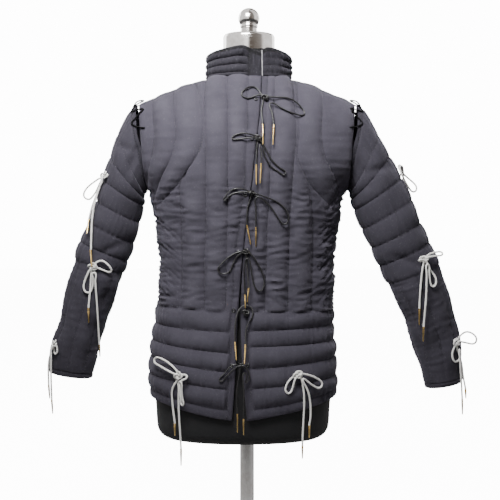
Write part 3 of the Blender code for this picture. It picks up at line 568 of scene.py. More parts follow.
def setStudio():
    lens = bpy.data.cameras.new("view")
    lens.lens, lens.sensor_width = view["lens"], 36
    camera = placedObject("view", lens, view["place"])
    camera.rotation_euler = (radians(90 + view["pitch"]), 0, 0)
    bpy.context.scene.camera = camera
    lamps = (      # place, aim, size, power, spread
        ((-0.27, -0.85, 1.78), (-0.03, -0.05, 1.03), 0.6, 17.5, 95),
        ((-0.5, -2.8, 1.3), (0, 0, 0.7), 1.0, 3, 180),
        ((-1.8, 2.0, 1.9), (0, 0, 0.7), 1.4, 34, 180),
        ((1.6, 2.2, 1.7), (0, 0, 0.7), 1.4, 28, 180),
    )
    for number, (place, aim, size, power, wide) in enumerate(lamps, 1):
        light = bpy.data.lights.new(f"softLight{number}", "AREA")
        light.size, light.energy, light.spread = size, power, radians(wide)
        lamp = placedObject(light.name, light, place)
        lamp.rotation_euler = (Vector(aim) - Vector(place)).to_track_quat("-Z", "Y").to_euler()
        lamp.visible_camera = False
    world = bpy.data.worlds.new("studio")
    world.use_nodes = True
    tree = world.node_tree
    rays = addNode(tree, "ShaderNodeLightPath").outputs
    way = addNode(tree, "ShaderNodeSeparateXYZ")
    put(tree, addNode(tree, "ShaderNodeTexCoord").outputs["Generated"], way.inputs[0])
    turn = sums(tree, "ARCTAN2", way.outputs[0], sums(tree, "MULTIPLY", way.outputs[1], -1.0))

    def between(start, full, fading, end):
        return sums(tree, "MULTIPLY", spread(tree, turn, start, full), spread(tree, turn, end, fading))

    start, end, low = room["fading"]
    dark = sums(tree, "MULTIPLY", between(*room["dark"]), spread(tree, turn, start, end, 1.0, low))
    dark = sums(tree, "MAXIMUM", dark, between(*room["farSide"]))
    shine = mixed(tree, dark, room["light"], room["shade"])
    colour = mixed(tree, rays["Is Glossy Ray"], (1.0, 1.0, 1.0), shine)
    seen = sums(tree, "MULTIPLY_ADD", rays["Is Camera Ray"], room["seen"], room["lit"])
    background = tree.nodes["Background"]
    put(tree, colour, background.inputs[0])
    put(tree, sums(tree, "MULTIPLY_ADD", rays["Is Glossy Ray"], room["shine"], seen), background.inputs[1])
    bpy.context.scene.world = world
    floorMaterial, tree, shader = newMaterial("paleFloor", (0.5, 0.5, 0.5), 0.9)
    shader.inputs["Emission Color"].default_value = (1, 1, 1, 1)
    seen = addNode(tree, "ShaderNodeLightPath").outputs["Is Camera Ray"]
    put(tree, sums(tree, "MULTIPLY", seen, room["floor"]), shader.inputs["Emission Strength"])
    wide = view["floor"]
    corners = ((-wide, -wide, 0), (wide, -wide, 0), (wide, wide, 0), (-wide, wide, 0))
    newPiece("floor", corners, [(0, 1, 2, 3)], floorMaterial)


setStudio()
report("camera, light and floor set")


# the quilted panels
panelLook = {
    "columnStep": 0.0034, "pucker": 0.0004, "bellyWrinkle": 0.0017, "skirtPucker": 0.0005,
    "sag": 0.0010, "armholeStitch": 0.010, "stitchDeep": 0.0013, "bellyTop": 0.83, "bellyLow": 0.50,
    "chestLow": 0.76, "hug": 0.010, "puckerSize": (0.030, 0.0105), "creaseSize": (0.042, 0.030),
    "patchSize": (0.1, 0.07), "slantSize": (0.05, 0.026), "chestSize": (0.05, 0.022),
    "skirtSize": (0.035, 0.013), "skirtFoldSize": (0.06, 0.021), "sagSize": (0.07, 0.09),
    "stitchWide": 0.0017, "settle": 0.009, "fadeOut": 0.004, "lowest": -0.0014, "seamRound": (0.0015, 0.0009),
    "foldOutside": 0.6, "wideBelow": 0.735, "hemFlat": 0.7, "bandFlat": 1.4, "mitre": 0.16, "beside": 0.007,
}
stitchRuns = {}           # the lines of stitches on each piece


def skirtHeights(skirt, share):
    return [mm * (middle + (side - middle) * share**1.2) for middle, side in skirt]


def panelGrid(lineX, widths, face, skirtAt, sideWarp):
    # a grid over the surface that the stitches lie in, its columns closer beside each line of them
    sign = -1 if face == "front" else 1
    columns = []
    for k, width in enumerate(widths):
        count = max(5, int(width / panelLook["columnStep"]))
        columns += [(k, (1 - cos(pi * m / count)) / 2 * 0.5 + m / count * 0.5) for m in range(count)]
    columns.append((len(widths) - 1, 1.0))
    upper = np.linspace(0, 1, 142) ** 0.94
    lower = np.linspace(0, 1, 13)[1:]
    bands = len(rightSkirt) - 1
    rows = len(upper) + bands * len(lower)
    grid = {"base": np.zeros((rows, len(columns), 3)), "width": np.zeros((rows, len(columns))),
            "fromTop": np.zeros((rows, len(columns))), "upper": len(upper),
            "band": np.concatenate([np.full(len(lower), b) for b in range(bands)]),
            "step": np.tile(lower, bands), "tall": np.zeros((bands, len(columns))),
            "k": np.array([k for k, _ in columns]), "share": np.array([s for _, s in columns])}
    for j, (k, share) in enumerate(columns):
        warped = 1 - (1 - share) ** 2 if sideWarp[k] == 1 else share**2 if sideWarp[k] == -1 else share

        def place(z):
            return lineX(k, z) + warped * (lineX(k + 1, z) - lineX(k, z))

        top = coat["neckZ"]
        for _ in range(8):
            top = float(shoulderHeight(place(top)))
        levels = skirtAt(place)
        z = np.concatenate([top + (levels[0] - top) * upper]
                           + [high + (low - high) * lower for high, low in zip(levels, levels[1:])])
        x = place(z)
        grid["base"][:, j] = np.stack((x, sign * bodyDepth(x, z, face), z), -1)
        grid["width"][:, j] = abs(lineX(k + 1, z) - lineX(k, z))
        grid["fromTop"][:, j] = top - z
        grid["tall"][:, j] = [high - low for high, low in zip(levels, levels[1:])]
    return grid


def quiltRelief(grid, seed):
    # puckers beside the stitches, wrinkles round the belly and slow unevenness
    look = panelLook
    x, z = grid["base"][..., 0], grid["base"][..., 2]
    share, width = grid["share"][None, :], grid["width"]
    away = np.minimum(share, 1 - share) * width
    belly = smooth((look["bellyTop"] - z) / 0.07) * smooth((z - look["bellyLow"]) / 0.03)
    chest = smooth((z - look["chestLow"]) / 0.07)
    skirt = np.zeros(z.shape)
    skirt[grid["upper"]:] = 1
    hug = 0.25 + 0.75 * np.exp(-away / look["hug"])
    puckers = ripples(x, z, look["puckerSize"], seed) * hug
    relief = look["pucker"] * puckers * (0.5 + 0.5 * belly) * (1 - skirt)
    creases = ripples(x, z, look["creaseSize"], seed + 1, 0.5, 14)
    patches = 0.4 + 0.6 * smooth(0.5 + 0.7 * ripples(x, z, look["patchSize"], seed + 6, 1.0, 5))
    relief += look["bellyWrinkle"] * belly * (0.45 - abs(creases)) * patches
    toSide = smooth((abs(x) - 0.125) / 0.05) * belly
    slanted = ripples(x + z * np.sign(x), z - abs(x), look["slantSize"], seed + 7, 0.25, 9)
    relief += look["bellyWrinkle"] * 1.2 * toSide * (0.5 - abs(slanted))
    relief += look["pucker"] * 0.6 * chest * ripples(x, z, look["chestSize"], seed + 2, 0.5)
    step = np.concatenate((np.zeros(grid["upper"]), grid["step"]))[:, None]
    hem = 0.3 + 0.7 * np.exp(-np.minimum(step, 1 - step) * 0.04 / look["hug"])
    relief += look["skirtPucker"] * skirt * hem * ripples(z, x, look["skirtSize"], seed + 3)
    folds = abs(ripples(z, x, look["skirtFoldSize"], seed + 4, 0.2))
    relief += look["skirtPucker"] * 0.8 * skirt * (0.5 - folds)
    relief += look["sag"] * ripples(x, z, look["sagSize"], seed + 5, 1.0)
    return relief


def quiltHeight(grid, height):
    # height of the wadding over the stitches, before the small wrinkles
    height = height.copy()
    for row, (band, step) in enumerate(zip(grid["band"], grid["step"]), grid["upper"]):
        height[row] = hump(step) * channelHeight(grid["tall"][band])
    return height


def widest(lineX, count):
    # each channel's greatest width
    z = np.linspace(0.3, 1.0, 15)
    return [float(abs(lineX(k + 1, z) - lineX(k, z)).max()) for k in range(count)]


def panelWall(name, grid, height, seams, openEdges, seed):
    look = panelLook
    base = grid["base"].copy()
    outwards = np.sign(base[..., 1:2] + 1e-9)
    normals = gridNormals(base, False)
    normals *= -1 if (normals[..., 1:2] * outwards).sum() < 0 else 1
    for j in seams:
        high = (base[:, j, 2] > coat["armpitZ"] + 0.004)[:, None]
        normals[:, j] = np.where(high, flatten(normals[:, j], 0), flatten(normals[:, j], 1))
    shoulder = (abs(base[0, :, 0] - coat["neckX"]) > coat["neckHalf"] - 0.004)[:, None]
    normals[0] = np.where(shoulder, flatten(normals[0], 1), normals[0])
    base[..., 1] += outwards[..., 0] * coat["seam"] / 2
    folds = foldDepth(base, normals)
    folds[:, seams] = 0
    folds[0] = 0
    wrinkles = quiltRelief(grid, seed)
    steps = np.linalg.norm(np.diff(base, axis=1), axis=2)
    across = np.concatenate((np.zeros((len(base), 1)), np.cumsum(steps, axis=1)), axis=1)

    def fromSides(sides, top):
        # distance over the cloth to the nearest of these sides, or to the top
        return np.min([top] + [across if j == 0 else across[:, -1:] - across for j in sides], axis=0)

    shoulder, far = shoulder[:, 0][None, :], 1.0
    edge = fromSides(openEdges, np.where(shoulder, far, grid["fromTop"]))
    edge = np.minimum(edge, base[..., 2] - base[-1:, :, 2])
    seam = fromSides(seams, np.where(shoulder, grid["fromTop"], far))
    high = base[..., 2] > coat["armpitZ"] + 0.01
    stitch = groove(seam - look["armholeStitch"], look["stitchWide"], look["stitchDeep"]) * high
    settle = smooth(seam / look["settle"])
    relief = wrinkles * smooth(np.minimum(seam, edge) / look["fadeOut"])
    raised = np.maximum(height * (0.25 + 0.75 * settle) + relief + stitch, look["lowest"])
    worn = edgeRound(edge) + edgeRound(seam, *look["seamRound"])
    outer = base + normals * (raised - folds * look["foldOutside"] - worn)[..., None]
    folds = folds * (1 - look["foldOutside"])
    inner = base - normals * (coat["wall"] + folds - edgeRound(edge))[..., None]
    sign = 1 if outwards.sum() > 0 else -1
    for skin in (outer, inner):
        skin[..., 1] = sign * np.maximum(sign * skin[..., 1], coat["seam"] / 2)
    # the mark that the cloth's painted shade and painted highlight follow
    mark = (height + stitch + 0.3 * wrinkles) / coat["crest"]
    piece = wallPiece(name, outer, inner, False, mark, quiltCloth)
    n, bands = grid["upper"], grid["tall"].shape[0]
    lines = [outer[:n, j] for j in np.flatnonzero(grid["share"] == 0) if grid["k"][j] > 0]
    first = int(np.flatnonzero(grid["k"] == 1)[0]) if openEdges else 0
    if openEdges:
        lines[0] = outer[:, first]
    lines += [outer[n - 1 + b * 12, first:] for b in range(bands)]
    stitchRuns[name] = lines
    return piece


def makeFront(name, lines, hand, skirt, seed):
    look, names = panelLook, list(lines)[1:] + ["side"]
    wideFrom = names.index("l3")

    def lineX(k, z):
        if k == len(names) - 1:
            return sideX(z, hand)
        x = follow(z, lines["z"], lines[names[k]])
        return x + hand * coat["openingGap"] / 2 if k == 0 else x

    def skirtAt(place):
        middle = mm * (skirt[0][0] + skirt[-1][0]) / 2
        edge, side = lineX(0, middle), lineX(len(names) - 1, middle)
        return skirtHeights(skirt, float(np.clip((place(middle) - edge) / (side - edge), 0, 1)))

    widths = widest(lineX, len(names) - 1)
    widths[-1] *= 1.5
    warp = [0] * (len(names) - 2) + [1]
    grid = panelGrid(lineX, widths, "front", skirtAt, warp)
    share, k = grid["share"][None, :], grid["k"][None, :]
    x, z = grid["base"][..., 0], grid["base"][..., 2]
    narrow = hump(share) * channelHeight(grid["width"])
    start, side = lineX(wideFrom, z), lineX(len(names) - 1, z)
    part = 1 - np.sqrt(1 - np.clip((x - start) / (side - start), 0, 1))
    wide = hump(part) * coat["crest"]
    height = np.where(k == 0, coat["bandPuff"] * narrow, narrow)
    upwards = smooth((z - look["wideBelow"]) / 0.05)       # below, one wide puff lies beside the side seam
    height = np.where(k >= wideFrom, wide + (narrow - wide) * upwards, height)
    height = quiltHeight(grid, height)
    hem, inBand = len(skirt) - 2, grid["k"] == 0
    fromBand = abs(x - lineX(1, z))
    for i, (band, step) in enumerate(zip(grid["band"], grid["step"]), grid["upper"]):
        edgeBand = coat["bandPuff"] * narrow[i] * look["bandFlat"]
        beside = height[i] * smooth(fromBand[i] / look["beside"])
        if band == hem:
            hemBand = height[i] * look["hemFlat"]
            mitre = grid["share"] + step - 1
            edgeBand = np.where(mitre < 0, edgeBand, hemBand) * smooth(abs(mitre) / look["mitre"])
            beside = hemBand
        height[i] = np.where(inBand, edgeBand, beside)
    return panelWall(name, grid, height, [-1], [0], seed)


def makeBack():
    lines = list(backLines)[1:]
    count = len(lines)
    names = ["side"] + lines[::-1] + lines + ["side"]

    def lineX(k, z):
        if k in (0, len(names) - 1):
            return sideX(z, -1 if k == 0 else 1)
        x = follow(z, backLines["z"], backLines[names[k]])
        neck = coat["neckX"] * smooth((z - coat["armpitZ"]) / (coat["neckZ"] - coat["armpitZ"]))
        return bodyAt(z, "shift") + neck + (-x if k <= count else x)

    def skirtAt(place):
        left, right = float(sideX(0.4, -1)), float(sideX(0.4, 1))
        share = float(np.clip((place(0.4) - left) / (right - left), 0, 1))
        sag = backSag * sin(pi * share)
        return [mm * (a[1] + (b[1] - a[1]) * share) - sag for a, b in zip(rightSkirt, leftSkirt)]

    widths = widest(lineX, len(names) - 1)
    widths[0] *= 1.4
    widths[-1] *= 1.4
    warp = [-1] + [0] * (len(names) - 3) + [1]
    grid = panelGrid(lineX, widths, "back", skirtAt, warp)
    height = hump(grid["share"][None, :]) * channelHeight(grid["width"])
    height = quiltHeight(grid, height)
    height[grid["upper"]:][grid["band"] == len(rightSkirt) - 2] *= panelLook["hemFlat"]
    return panelWall("backQuilt", grid, height, [0, -1], [], 31)


rightFront = makeFront("rightFrontQuilt", rightLines, -1, rightSkirt, 11)
leftFront = makeFront("leftFrontQuilt", leftLines, 1, leftSkirt, 21)
backPiece = makeBack()
report("panels quilted")


# sleeves
sleeveLook = {
    "around": 104, "perRing": 15, "ribs": 8, "wrinkle": 0.0008, "sag": 0.0012,
    "headStitch": (0.010, 0.0011), "cuffStitch": (0.011, 0.0013), "stitchWide": 0.0016, "fadeOut": 0.01,
    "puffShare": 0.7, "ribShare": 0.75, "girth": 0.055, "hug": 0.009, "channel": 0.042, "ribWide": 0.04,
    "puckerSize": (0.03, 0.012), "ribSize": (0.03, 0.011), "foldSize": (0.05, 0.036), "sagSize": (0.08, 0.09),
}
sleeveColumns = "outerX outerZ innerX innerZ depth ahead puff rib".split()
rightSleeveRings = np.array((
    (-248, 974, -223, 786, 66, 0, 1.5, 0),
    (-266, 950, -226, 781, 66, 0, 2.5, 0),
    (-288, 905, -229, 774, 65, -1, 4, 0),
    (-305, 855, -232, 764, 64, -2, 6, 0),
    (-320, 805, -236, 748, 63, -3, 6, 0),
    (-336, 758, -243, 710, 61, -4, 6, 0),
    (-353, 711, -256, 664, 60, -5, 6, 0),
    (-372, 668, -269, 624, 58, -6, 6, 0),
    (-384, 630, -279, 597, 57, -7, 1, 2),
    (-392, 598, -288, 570, 56, -9, 0, 5),
    (-406, 546, -306, 520, 54, -11, 0, 5),
    (-419, 490, -325, 465, 51, -13, 0, 5),
    (-437, 437, -338, 412, 48, -15, 0, 5),
    (-444, 393, -346, 376, 45, -16, 1, 1),
    (-445, 376, -348, 361, 44, -16, 0, 0),
)) * mm
leftSleeveRings = np.array((
    (248, 974, 223, 786, 66, 0, 1.5, 0),
    (266, 952, 227, 782, 66, 0, 2.5, 0),
    (294, 902, 231, 775, 65, -1, 4, 0),
    (319, 856, 236, 762, 64, -2, 6, 0),
    (344, 808, 243, 738, 63, -3, 6, 0),
    (367, 760, 260, 695, 61, -4, 6, 0),
    (388, 709, 279, 653, 60, -5, 6, 0),
    (408, 664, 298, 613, 58, -6, 6, 0),
    (427, 616, 317, 573, 56, -7, 1, 2),
    (435, 590, 326, 552, 56, -9, 0, 5),
    (446, 562, 343, 521, 54, -11, 0, 5),
    (460, 513, 359, 483, 51, -13, 0, 5),
    (472, 463, 376, 434, 48, -15, 0, 5),
    (480, 408, 389, 386, 45, -16, 0, 4),
    (482, 370, 398, 354, 43, -17, 1, 1),
    (483, 354, 401, 339, 42, -17, 0, 0),
)) * mm


def slitAt(z):
    return coat["seam"] + coat["slit"] * smooth((z - coat["slitFrom"]) / (coat["slitTo"] - coat["slitFrom"]))


def armholePoint(angle, hand, off=0.0):
    # the armhole's oval, its angle counted from the top towards the front
    middle, tall = (coat["shoulderZ"] + coat["armpitZ"]) / 2, (coat["shoulderZ"] - coat["armpitZ"]) / 2
    z = middle + tall * np.cos(angle)
    x = hand * armholeHalf(z)
    y = np.where(np.sin(angle) > 0, -bodyDepth(x, z, "front"), bodyDepth(x, z, "back"))
    return np.stack((x + hand * off, y, z), -1)


def makeSleeve(name, lines, hand, seed):
    look = sleeveLook
    count, around = len(lines), look["around"]
    stations = np.arange(count, dtype=float)
    at = np.concatenate([i + np.arange(look["perRing"]) / look["perRing"] for i in range(count - 1)]
                        + [[count - 1.0]])
    value = {label: follow(at, stations, lines[:, i]) for i, label in enumerate(sleeveColumns)}
    angle = 2 * pi * np.arange(around) / around
    rib = (angle * look["ribs"] / (2 * pi)) % 1
    outer = np.stack((value["outerX"], np.zeros(len(at)), value["outerZ"]), -1)[:, None]
    inner = np.stack((value["innerX"], np.zeros(len(at)), value["innerZ"]), -1)[:, None]
    base = (outer + inner) / 2 + (outer - inner) / 2 * np.cos(angle)[None, :, None]
    base[..., 1] = value["ahead"][:, None] - value["depth"][:, None] * np.sin(angle)[None, :]
    oval = armholePoint(angle, hand)
    oval[:, 0] += hand * slitAt(oval[:, 2])
    base = oval[None] + (base - oval[None]) * smooth(at / 2)[:, None, None]
    normals = gridNormals(base, True)
    if ((base - base.mean(axis=1, keepdims=True)) * normals).sum() < 0:
        normals = -normals
    normals[0] = flatten(normals[0], 0)
    ring = np.minimum(at.astype(int), count - 2)
    puffs, frac = lines[ring, sleeveColumns.index("puff")], at - ring
    puffs = np.where(puffs > 2.4 * mm, puffs, 0)
    ribs = hump(rib)
    crest = look["puffShare"] * (puffs * hump(frac, 0.5))[:, None]
    crest = crest + look["ribShare"] * np.clip(value["rib"], 0, None)[:, None] * ribs[None]
    along = alongRun(base.mean(axis=1))
    turn = angle[None, :] * look["girth"]
    length = along[:, None]
    upper = (puffs > 0)[:, None] * 1.0
    nearStitch = np.exp(-np.minimum(frac, 1 - frac) * look["channel"] / look["hug"])[:, None]
    puckers = ripples(length, turn, look["puckerSize"], seed)
    relief = look["wrinkle"] * upper * (0.3 + 0.7 * nearStitch) * puckers
    nearRib = np.exp(-np.minimum(rib, 1 - rib) * look["ribWide"] / look["hug"])[None, :]
    lower = np.clip(value["rib"] / (5 * mm), 0, 1)[:, None]
    puckers = ripples(turn, length, look["ribSize"], seed + 1)
    relief += look["wrinkle"] * 0.4 * lower * (0.35 + 0.65 * nearRib) * puckers
    creases = abs(ripples(turn, length, look["foldSize"], seed + 2, 0.45))
    relief += look["wrinkle"] * lower * (0.5 - creases) * 0.8
    relief += look["sag"] * ripples(turn, length, look["sagSize"], seed + 3, 1.0)
    fromCuff = along[-1] - along
    inside = smooth(np.minimum(along, fromCuff) / look["fadeOut"])[:, None]
    folds = foldDepth(base, normals)
    folds[0] = folds[-1] = 0
    stitch = sum(groove(away - start, look["stitchWide"], deep) for away, (start, deep) in
                 ((along, look["headStitch"]), (fromCuff, look["cuffStitch"])))
    raised = crest + relief * inside + stitch[:, None]
    rim = edgeRound(np.minimum(along, fromCuff))[:, None]
    outer = base + normals * (raised - folds - rim)[..., None]
    inner = base - normals * (coat["wall"] + folds - rim)[..., None]
    # the mark that the cloth's painted shade and painted highlight follow
    mark = (crest + stitch[:, None] + 0.3 * relief) / coat["crest"]
    piece = wallPiece(name, outer, inner, True, mark, shadedSleeveCloth)
    rings = [n for n in range(1, count - 1) if puffs[n * look["perRing"]] > 0]
    lines = [outer[n * look["perRing"], np.arange(around + 1) % around] for n in rings]
    low = (rings[-1] + 1) * look["perRing"] + 6
    columns = np.arange(look["ribs"]) * around // look["ribs"]
    stitchRuns[name] = lines + [outer[low:-8, j] for j in columns]
    return piece


rightSleeve = makeSleeve("rightSleeveQuilt", rightSleeveRings, -1, 41)
leftSleeve = makeSleeve("leftSleeveQuilt", leftSleeveRings, 1, 51)
report("sleeves quilted")


# collar
collarLook = {
    "columns": 250, "under": 0.0062, "lean": 0.003, "lip": 0.0015, "wrinkle": 0.0005,
    "lines": (0, 0.12, 0.39, 0.65, 1), "startX": 0.034, "endAngle": 27, "girth": 0.085, "sag": 0.0007,
    "puckerSize": (0.03, 0.010), "sagSize": (0.05, 0.06), "rollWide": 0.011, "fadeOut": 0.004, "puff": 1.7,
    "underFrom": (344, 26), "plainFrom": (350, 12), "flatUpTo": (40, 40),       # degrees: start and length
}
collarTop = np.array((    # degrees from the front towards the wearer's left, height
    (18, 1084), (27, 1091), (60, 1085), (95, 1077), (180, 1090), (262, 1079), (290, 1084),
    (330, 1091), (352, 1095), (364, 1088), (374, 1083), (388, 1079),
), float)


def makeCollar():
    look = collarLook
    start = asin((look["startX"] - coat["neckX"]) / coat["neckHalf"])
    angle = np.linspace(start, 2 * pi + radians(look["endAngle"]), look["columns"])[None, :]
    turned = np.degrees(angle)
    top = follow(turned, collarTop[:, 0], collarTop[:, 1] * mm)

    def past(start, length):
        return smooth((turned - start) / length)

    under = look["under"] * past(*look["underFrom"])
    plain = 1 - past(*look["plainFrom"])
    steps, share, tall = [], [], []
    for low, high in zip(look["lines"], look["lines"][1:]):
        part = np.linspace(0, 1, 13)[:-1]
        steps += list(low + (high - low) * part)
        share += list(part)
        tall += [high - low] * len(part)
    steps, share = (np.array(values + [1])[:, None] for values in (steps, share))
    tall = np.array(tall + [look["lines"][-1] - look["lines"][-2]])[:, None]
    rise = top - coat["neckZ"]
    inset = under + look["lean"] * steps
    z = coat["neckZ"] + coat["seam"] + rise * steps
    x = coat["neckX"] + (coat["neckHalf"] - inset) * np.sin(angle)
    y = -(coat["neckDepth"] - inset) * np.cos(angle)
    base = np.stack((x, y, z), -1)
    normals = gridNormals(base, False)
    if ((base - np.array((coat["neckX"], 0, 0))) * normals)[..., :2].sum() < 0:
        normals = -normals
    normals = flatten(normals, 2)
    height = plain * hump(share) * channelHeight(tall * rise * look["puff"])
    height *= 0.3 + 0.7 * past(*look["flatUpTo"])
    arc = angle * look["girth"]
    relief = look["wrinkle"] * ripples(z, arc, look["puckerSize"], 61)
    relief = relief + look["sag"] * ripples(z, arc, look["sagSize"], 62)
    ends = np.minimum(arc - arc[:, :1], arc[:, -1:] - arc)
    edge = np.minimum(ends, (1 - steps) * rise)
    raised = height + relief * smooth(edge / look["fadeOut"])
    outer = base + normals * (raised - edgeRound(edge))[..., None]
    inner = base - normals * (coat["wall"] - edgeRound(edge) * 0.6)[..., None]
    inner[-1, :, 2] -= look["lip"]
    # the top roll takes the dark colour of the painted shade between the puffs
    rolled = smooth((look["rollWide"] - (1 - steps) * rise) / 0.003)
    mark = (height + 0.3 * relief) / coat["crest"] * (1 - rolled) - 0.2 * rolled
    return wallPiece("collarQuilt", outer, inner, False, mark, collarCloth)


collarPiece = makeCollar()
report("collar quilted")


